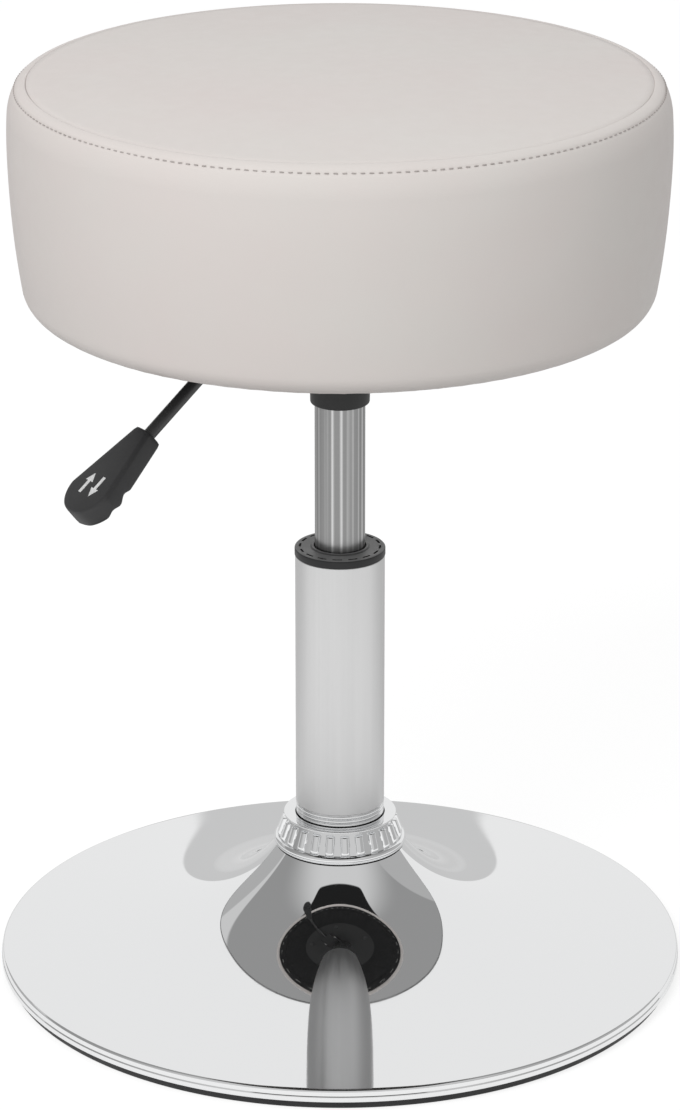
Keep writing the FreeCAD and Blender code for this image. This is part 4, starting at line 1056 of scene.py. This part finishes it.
crease_foot = crease - Vector((2 * HAIR, CREASE_DIP))
panel_outside = [crease_foot - Vector((0, COVER_SKIN)), crease_foot]
panel_outside += [crown(1 - share) for share in shares(PANEL_STEPS)]
panel_inside = [crown(share, COVER_SKIN) for share in shares(PANEL_UNDER_STEPS)]


def ripple(angle, reach, level):
    """Smooth noise along a circle of a given reach."""
    return noise.noise(Vector((reach * math.cos(angle), reach * math.sin(angle), level)))


def panel_shape(angle, index, radius, height):
    """Slight unevenness of the foam under the top panel, none at its middle and its edge."""
    fade = min(radius / SWELL_MIDDLE, 1) * min((crease.x - radius) / SWELL_EDGE, 1)
    return radius, height + SWELL * ripple(angle, radius * SWELL_SCALE, 3.0) * max(fade, 0)


top_panel = build("seat_top_cover", [revolve(panel_outside + panel_inside, COVER_SEGMENTS, panel_shape)],
                  "seat", 60)


def capsule(length, radius, steps=4):
    """Round-ended thread of a stitch, along Z."""
    straight = length / 2 - radius
    turns = [math.pi / 2 * share for share in shares(steps)]
    lower = [(radius * math.sin(turn), -straight - radius * math.cos(turn)) for turn in turns]
    return lower + [(out, -up) for out, up in lower[::-1]]


thread_shell = revolve(capsule(STITCH_LENGTH, STITCH_RADIUS), 10, closed=False)
thread_at = stitch_line - stitch_out * (STITCH_DIP / 2 - THREAD_PROUD)
seat_point = Matrix.Translation((thread_at.x, 0, thread_at.y))
lay = Matrix.Rotation(math.pi / 2, 4, "X")
stitch_shells = []
for index in range(STITCH_COUNT):
    turn = Matrix.Rotation(2 * math.pi * (index + 0.5) / STITCH_COUNT, 4, "Z")
    lean = Matrix.Rotation(STITCH_LEAN * random.uniform(-1, 1), 4, "X")
    stitch_shells.append(placed(thread_shell, turn @ seat_point @ lean @ lay))
stitches = build("seat_stitches", stitch_shells, "seat", 60)

leather, tree, surface = new_material("faux_leather", Specular_IOR_Level=0.4, Coat_Weight=0.05,
                                      Coat_Roughness=0.35)
tone = place_group(tree, patches, Scale=9, Low=0.0, High=1.0)
tint = feed(tree, "Mix", 2, data_type="RGBA", _0=tone, _6=(0.675, 0.62, 0.597, 1), _7=(0.672, 0.64, 0.612, 1))
tree.links.new(tint, surface["Base Color"])
vary(tree, surface["Roughness"], 120, 0.42, 0.54)
pebbles = texture(tree, "TexVoronoi", "Distance", feature="SMOOTH_F1", Scale=950.0)
creases = texture(tree, "TexNoise", "Fac", Scale=420.0, Detail=6.0)
bump(tree, surface, compute(tree, "MULTIPLY", pebbles, creases), 0.12 * MM, 0.35)
thread, tree, surface = new_material("stitch_thread", Base_Color=(0.44, 0.4, 0.38, 1), Roughness=0.7,
                                     Sheen_Weight=0.2)
twist = feed(tree, "TexWave", "Fac", bands_direction="DIAGONAL", Scale=900.0)
bump(tree, surface, twist, 0.08 * MM, 0.6)
stitches.data.materials.append(thread)
for cover, node_name in ((side_band, "seat_side_band"), (top_panel, "seat_top_panel")):
    cover.data.materials.append(leather)
    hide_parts(node_name)

# Dust cover and its staples
# Black non-woven cloth, cut round and stretched over the underside out to the foot of the cover. A ring
# of wire staples goes through cloth and hem into the board.
CLOTH_RADIUS = 159.6 * MM
CLOTH_THICK = 0.45 * MM
CLOTH_RINGS = 44
CLOTH_SEGMENTS = 288
PULL_DEPTH = 0.55 * MM
STAPLE_COUNT = 36
STAPLE_LENGTH = 10.0 * MM
STAPLE_WIRE = 0.35 * MM
STAPLE_CIRCLE = hem_inner + 6.0 * MM
STAPLE_LEG = 1.4 * MM
STAPLE_SIDES = 8
CLOTH_LIFT = 0.45 * MM
CLOTH_GAP = 0.1 * MM
CLOTH_SWAY = 0.3 * MM
CLOTH_SWAY_SCALE = 45
CUT_SWAY = 0.4 * MM
CUT_SWAY_SCALE = 9
HEM_EASE = (5.0 * MM, 0.5 * MM)
PULL_CLEAR = (4.0 * MM, 12.0 * MM)

dust_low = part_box("dust_cover")[0]
plate_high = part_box("seat_plate")[1]
foot_radius = seat_radius - FOOT_INSET
pull_sway = [random.uniform(0.3, 1.0) for _ in range(STAPLE_COUNT)]


def eased(value, start, end):
    """0 before start, 1 after end, and smooth between them."""
    share = min(max((value - start) / (end - start), 0), 1)
    return share * share * (3 - 2 * share)


def cloth_shape(angle, index, radius, height):
    """Cloth pulled from its staples: flat on the board, over the hem's edge, and creased at each staple."""
    over_hem = eased(radius, hem_inner - HEM_EASE[0], hem_inner - HEM_EASE[1])
    turn = angle / (2 * math.pi) * STAPLE_COUNT
    near = 0.5 + 0.5 * math.cos(2 * math.pi * turn)
    pull = near ** 3 * pull_sway[int(turn + 0.5) % STAPLE_COUNT]
    free = eased(radius, plate_high.x + PULL_CLEAR[0], hem_inner - PULL_CLEAR[1]) * (1 - over_hem)
    sway = CLOTH_SWAY * ripple(angle, radius * CLOTH_SWAY_SCALE, 7.0)
    level = (1 - over_hem) * CLOTH_LIFT - over_hem * (CLOTH_THICK + CLOTH_GAP)
    out = radius + CUT_SWAY * ripple(angle, CUT_SWAY_SCALE, 2.0) * eased(radius, hem_inner, CLOTH_RADIUS)
    up_roll = FOOT_ROLL[2] - math.sqrt(FOOT_ROLL[2] ** 2 - max(out - foot_radius, 0) ** 2)
    return out, height + level + up_roll + free * (sway - PULL_DEPTH * pull)


cloth_radii = [CLOTH_RADIUS * math.sqrt(share) for share in shares(CLOTH_RINGS)]
cloth_profile = [(radius, seat_bottom) for radius in cloth_radii]
cloth_profile += [(radius, seat_bottom + CLOTH_THICK) for radius in cloth_radii[::-1]]
dust_sheet = build("dust_cloth_sheet", [revolve(cloth_profile, CLOTH_SEGMENTS, cloth_shape, closed=False)],
                   "seat", 60)
dust_cloth, tree, surface = new_material("non_woven_cloth", Roughness=0.95, Sheen_Weight=0.15)
fibres = texture(tree, "TexVoronoi", "Distance", feature="DISTANCE_TO_EDGE", Scale=500.0)
shade_by(tree, surface, fibres, grey(0.004), (0.02, 0.02, 0.021, 1), light_at=0.25)
bump(tree, surface, fibres, 0.15 * MM, 0.5)
dust_sheet.data.materials.append(dust_cloth)
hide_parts("dust_cover")


def staple_shell():
    """Back of a staple: a bent wire lying across the hem, its ends turned up into the board."""
    half = STAPLE_LENGTH / 2
    bend = STAPLE_WIRE
    route = [(-half, STAPLE_LEG), (-half, bend), (bend - half, 0),
             (half - bend, 0), (half, bend), (half, STAPLE_LEG)]
    rows = []
    for index, (across, up) in enumerate(route):
        before = Vector(route[max(index - 1, 0)])
        after = Vector(route[min(index + 1, len(route) - 1)])
        way = (after - before).normalized()
        row = []
        for angle in [2 * math.pi * side / STAPLE_SIDES for side in range(STAPLE_SIDES)]:
            off = Vector((-way.y, way.x)) * math.cos(angle) * STAPLE_WIRE
            row.append(Vector((math.sin(angle) * STAPLE_WIRE, across + off.x, up + off.y)))
        rows.append(row)
    return loft(rows)


staple = placed(staple_shell(), Matrix.Translation((0, 0, dust_low.z - STAPLE_WIRE)))
staples = build("hem_staples", ring_of(staple, STAPLE_COUNT, STAPLE_CIRCLE), "seat", 40)
staples.data.materials.append(zinc)
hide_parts("cover_staples")

# Studio
# A white floor that keeps the stool's shadow, a white backdrop behind it, a grey room round it and a black
# flag over the camera, which the chrome mirrors, with a soft key lamp from the left and an even fill.
CAMERA_AZIMUTH = math.radians(145.0)
CAMERA_PITCH = math.radians(20.68)
CAMERA_REACH = 2.336
CAMERA_HEIGHT = 1.1268
CAMERA_LENS = 145.5
FLOOR_HALF = 6.0

front = Vector((math.sin(CAMERA_AZIMUTH), -math.cos(CAMERA_AZIMUTH), 0))
right = Vector((math.cos(CAMERA_AZIMUTH), math.sin(CAMERA_AZIMUTH), 0))
camera = bpy.data.objects.new("camera", bpy.data.cameras.new("camera"))
camera.data.lens = CAMERA_LENS
camera.location = front * CAMERA_REACH + Vector((0, 0, CAMERA_HEIGHT))
camera.rotation_euler = (math.pi / 2 - CAMERA_PITCH, 0, CAMERA_AZIMUTH)
scene.collection.objects.link(camera)
scene.camera = camera
scene.view_settings.view_transform = "Standard"


def seen_directly(tree):
    """1 for rays that show a surface as such: from the camera, a mirror or through glass."""
    path = add_node(tree, "LightPath").outputs
    mirrors = compute(tree, "MAXIMUM", path["Is Camera Ray"], path["Is Glossy Ray"])
    return compute(tree, "MAXIMUM", mirrors, path["Is Transmission Ray"])


def dot(tree, vector, direction):
    """How far a vector goes along a fixed direction."""
    return feed(tree, "VectorMath", "Value", operation="DOT_PRODUCT", _0=vector, _1=direction)


def step_mask(tree, value, start, end):
    """0 at start and 1 at end, smooth between them."""
    return feed(tree, "MapRange", "Result", interpolation_type="SMOOTHSTEP", Value=value, From_Min=start,
                From_Max=end)


def layer(tree, mask, below, above):
    """Number that goes from below to above by a mask."""
    return feed(tree, "Mix", "Result", data_type="FLOAT", _0=mask, _2=below, _3=above)


FLOOR_GLOW = 0.78
FLOOR_MIRRORED_FRONT = 0.68
FLOOR_MIRRORED_BACK = 0.41
FLOOR_MATTE = grey(0.62)
FLOOR_SHADOW = grey(0.3)
FLOOR_FADE = (-0.4, 0.2)
WHITE = grey(1)

floor_mesh = bpy.data.meshes.new("studio_floor")
floor_mesh.from_pydata([(-FLOOR_HALF, -FLOOR_HALF, 0), (FLOOR_HALF, -FLOOR_HALF, 0),
                        (FLOOR_HALF, FLOOR_HALF, 0), (-FLOOR_HALF, FLOOR_HALF, 0)], [], [(0, 1, 2, 3)])
floor = bpy.data.objects.new("studio_floor", floor_mesh)
scene.collection.objects.link(floor)
floor_white = bpy.data.materials.new("floor_white")
floor_white.use_nodes = True
tree = floor_white.node_tree
tree.nodes.clear()
from_camera = feed(tree, "LightPath", "Is Camera Ray")
near_side = step_mask(tree, dot(tree, feed(tree, "TexCoord", "Object"), front), *FLOOR_FADE)
mirrored_glow = layer(tree, near_side, FLOOR_MIRRORED_BACK, FLOOR_MIRRORED_FRONT)
glow_level = layer(tree, from_camera, mirrored_glow, FLOOR_GLOW)
matte = feed(tree, "BsdfDiffuse", "BSDF", Color=FLOOR_MATTE)
shadow = feed(tree, "BsdfDiffuse", "BSDF", Color=FLOOR_SHADOW)
glow = feed(tree, "Emission", "Emission", Color=WHITE, Strength=glow_level)
shown_floor = feed(tree, "AddShader", "Shader", _0=shadow, _1=glow)
floor_mix = feed(tree, "MixShader", "Shader", _0=seen_directly(tree), _1=matte, _2=shown_floor)
add_node(tree, "OutputMaterial", Surface=floor_mix)
floor_mesh.materials.append(floor_white)

BACKDROP_LEFT = ((-36, 8), (-32, 40))
BACKDROP_RIGHT = ((51, 15), (42, 43))
BACKDROP_TOP = math.radians(51.8)
BACKDROP_CORNER = 0.33
BACKDROP_LIGHT = 0.88
BACKDROP_SEAM = 0.0025
HORIZON_BAND = math.radians(6.8)
HORIZON_LIGHT = 0.61
ROOM_SIDE = 0.31
ROOM_FRONT = 0.64
WALL_LEFT_TOP = ((-65, 18), (-33, 35))
STRIP_LEFT_TOP = ((-62, 25), (-30, 45))
WALL_RIGHT_TOP = ((56, 36), (92, 36))
WALL_LIGHT = 0.45
STRIP_LIGHT = 0.62
FLAG_LOW = math.radians(56.5)
FLAG_HALF = 0.37
FLAG_BACK = 0.12
FLAG_CORNER = 0.06
FLAG_LIGHT = 0.015
FILL_LEVEL = 0.70
ROOM_FADE = (0.2, -0.9)
SIDE_FADE = 0.1
SEAM_LIGHT = 0.12
HORIZON_SOFT = 0.004
WALL_SOFT = 0.01
FLAG_SOFT = 0.005
BACKDROP_SOFT = 0.003

world = bpy.data.worlds.new("studio")
scene.world = world
world.use_nodes = True
tree = world.node_tree
tree.nodes.clear()
way = feed(tree, "TexCoord", "Generated")
parts = add_node(tree, "SeparateXYZ", Vector=way).outputs
up = parts["Z"]
flat = feed(tree, "CombineXYZ", "Vector", X=parts["X"], Y=parts["Y"])
behind = dot(tree, feed(tree, "VectorMath", "Vector", operation="NORMALIZE", _0=flat), -front)


def studio_way(azimuth, elevation):
    """Direction by degrees to the right of straight back and degrees up."""
    turn, rise = math.radians(azimuth), math.radians(elevation)
    return (right * math.sin(turn) - front * math.cos(turn)) * math.cos(rise) + Vector((0, 0, math.sin(rise)))


def inside_edge(corners):
    """How far inside the straight edge through two directions the looked-at direction lies."""
    normal = studio_way(*corners[0]).cross(studio_way(*corners[1])).normalized()
    return dot(tree, way, normal if normal.dot(front) < 0 else -normal)


def within(corner, *distances):
    """Smallest of the distances inside several edges, with soft corners between them."""
    least = distances[0]
    for distance in distances[1:]:
        least = compute(tree, "SMOOTH_MIN", least, distance, corner)
    return least


backdrop = within(BACKDROP_CORNER, inside_edge(BACKDROP_LEFT), inside_edge(BACKDROP_RIGHT),
                  compute(tree, "SUBTRACT", math.sin(BACKDROP_TOP), up))
over_horizon = step_mask(tree, up, math.sin(HORIZON_BAND - HORIZON_SOFT),
                         math.sin(HORIZON_BAND + HORIZON_SOFT))
board_light = layer(tree, over_horizon, HORIZON_LIGHT, BACKDROP_LIGHT)
aside = dot(tree, way, right)
room = layer(tree, step_mask(tree, behind, *ROOM_FADE), ROOM_SIDE, ROOM_FRONT)
for side, edge, light in ((-1, STRIP_LEFT_TOP, STRIP_LIGHT), (-1, WALL_LEFT_TOP, WALL_LIGHT),
                          (1, WALL_RIGHT_TOP, WALL_LIGHT)):
    on_side = step_mask(tree, aside, 0, side * SIDE_FADE)
    below = step_mask(tree, inside_edge(edge), -WALL_SOFT, WALL_SOFT)
    room = layer(tree, compute(tree, "MULTIPLY", on_side, below), room, light)
flag = within(FLAG_CORNER, compute(tree, "SUBTRACT", FLAG_HALF, compute(tree, "ABSOLUTE", aside)),
              compute(tree, "SUBTRACT", up, math.sin(FLAG_LOW)),
              compute(tree, "SUBTRACT", FLAG_BACK, dot(tree, way, -front)))
room = layer(tree, step_mask(tree, flag, -FLAG_SOFT, FLAG_SOFT), room, FLAG_LIGHT)
mirrored = layer(tree, step_mask(tree, backdrop, -BACKDROP_SOFT, BACKDROP_SOFT), room, board_light)
on_seam = step_mask(tree, compute(tree, "ABSOLUTE", backdrop), BACKDROP_SEAM, BACKDROP_SEAM / 2)
mirrored = layer(tree, on_seam, mirrored, SEAM_LIGHT)
lit = layer(tree, seen_directly(tree), FILL_LEVEL, mirrored)
strength = layer(tree, feed(tree, "LightPath", "Is Camera Ray"), lit, 1.0)
sky = feed(tree, "Background", "Background", Color=WHITE, Strength=strength)
add_node(tree, "OutputWorld", Surface=sky)

KEY_POWER = 30.0
KEY_SIZE = 1.6
KEY_PLACE = front * 1.75 - right * 0.82 + Vector((0, 0, 2.09))
LAMP_TARGET = Vector((0, 0, 0.35))
key_data = bpy.data.lights.new("key_lamp", "AREA")
key_data.shape = "DISK"
key_data.size = KEY_SIZE
key_data.energy = KEY_POWER
key = bpy.data.objects.new("key_lamp", key_data)
key.location = KEY_PLACE
key.rotation_euler = (LAMP_TARGET - KEY_PLACE).to_track_quat("-Z", "Y").to_euler()
key.visible_glossy = False
scene.collection.objects.link(key)
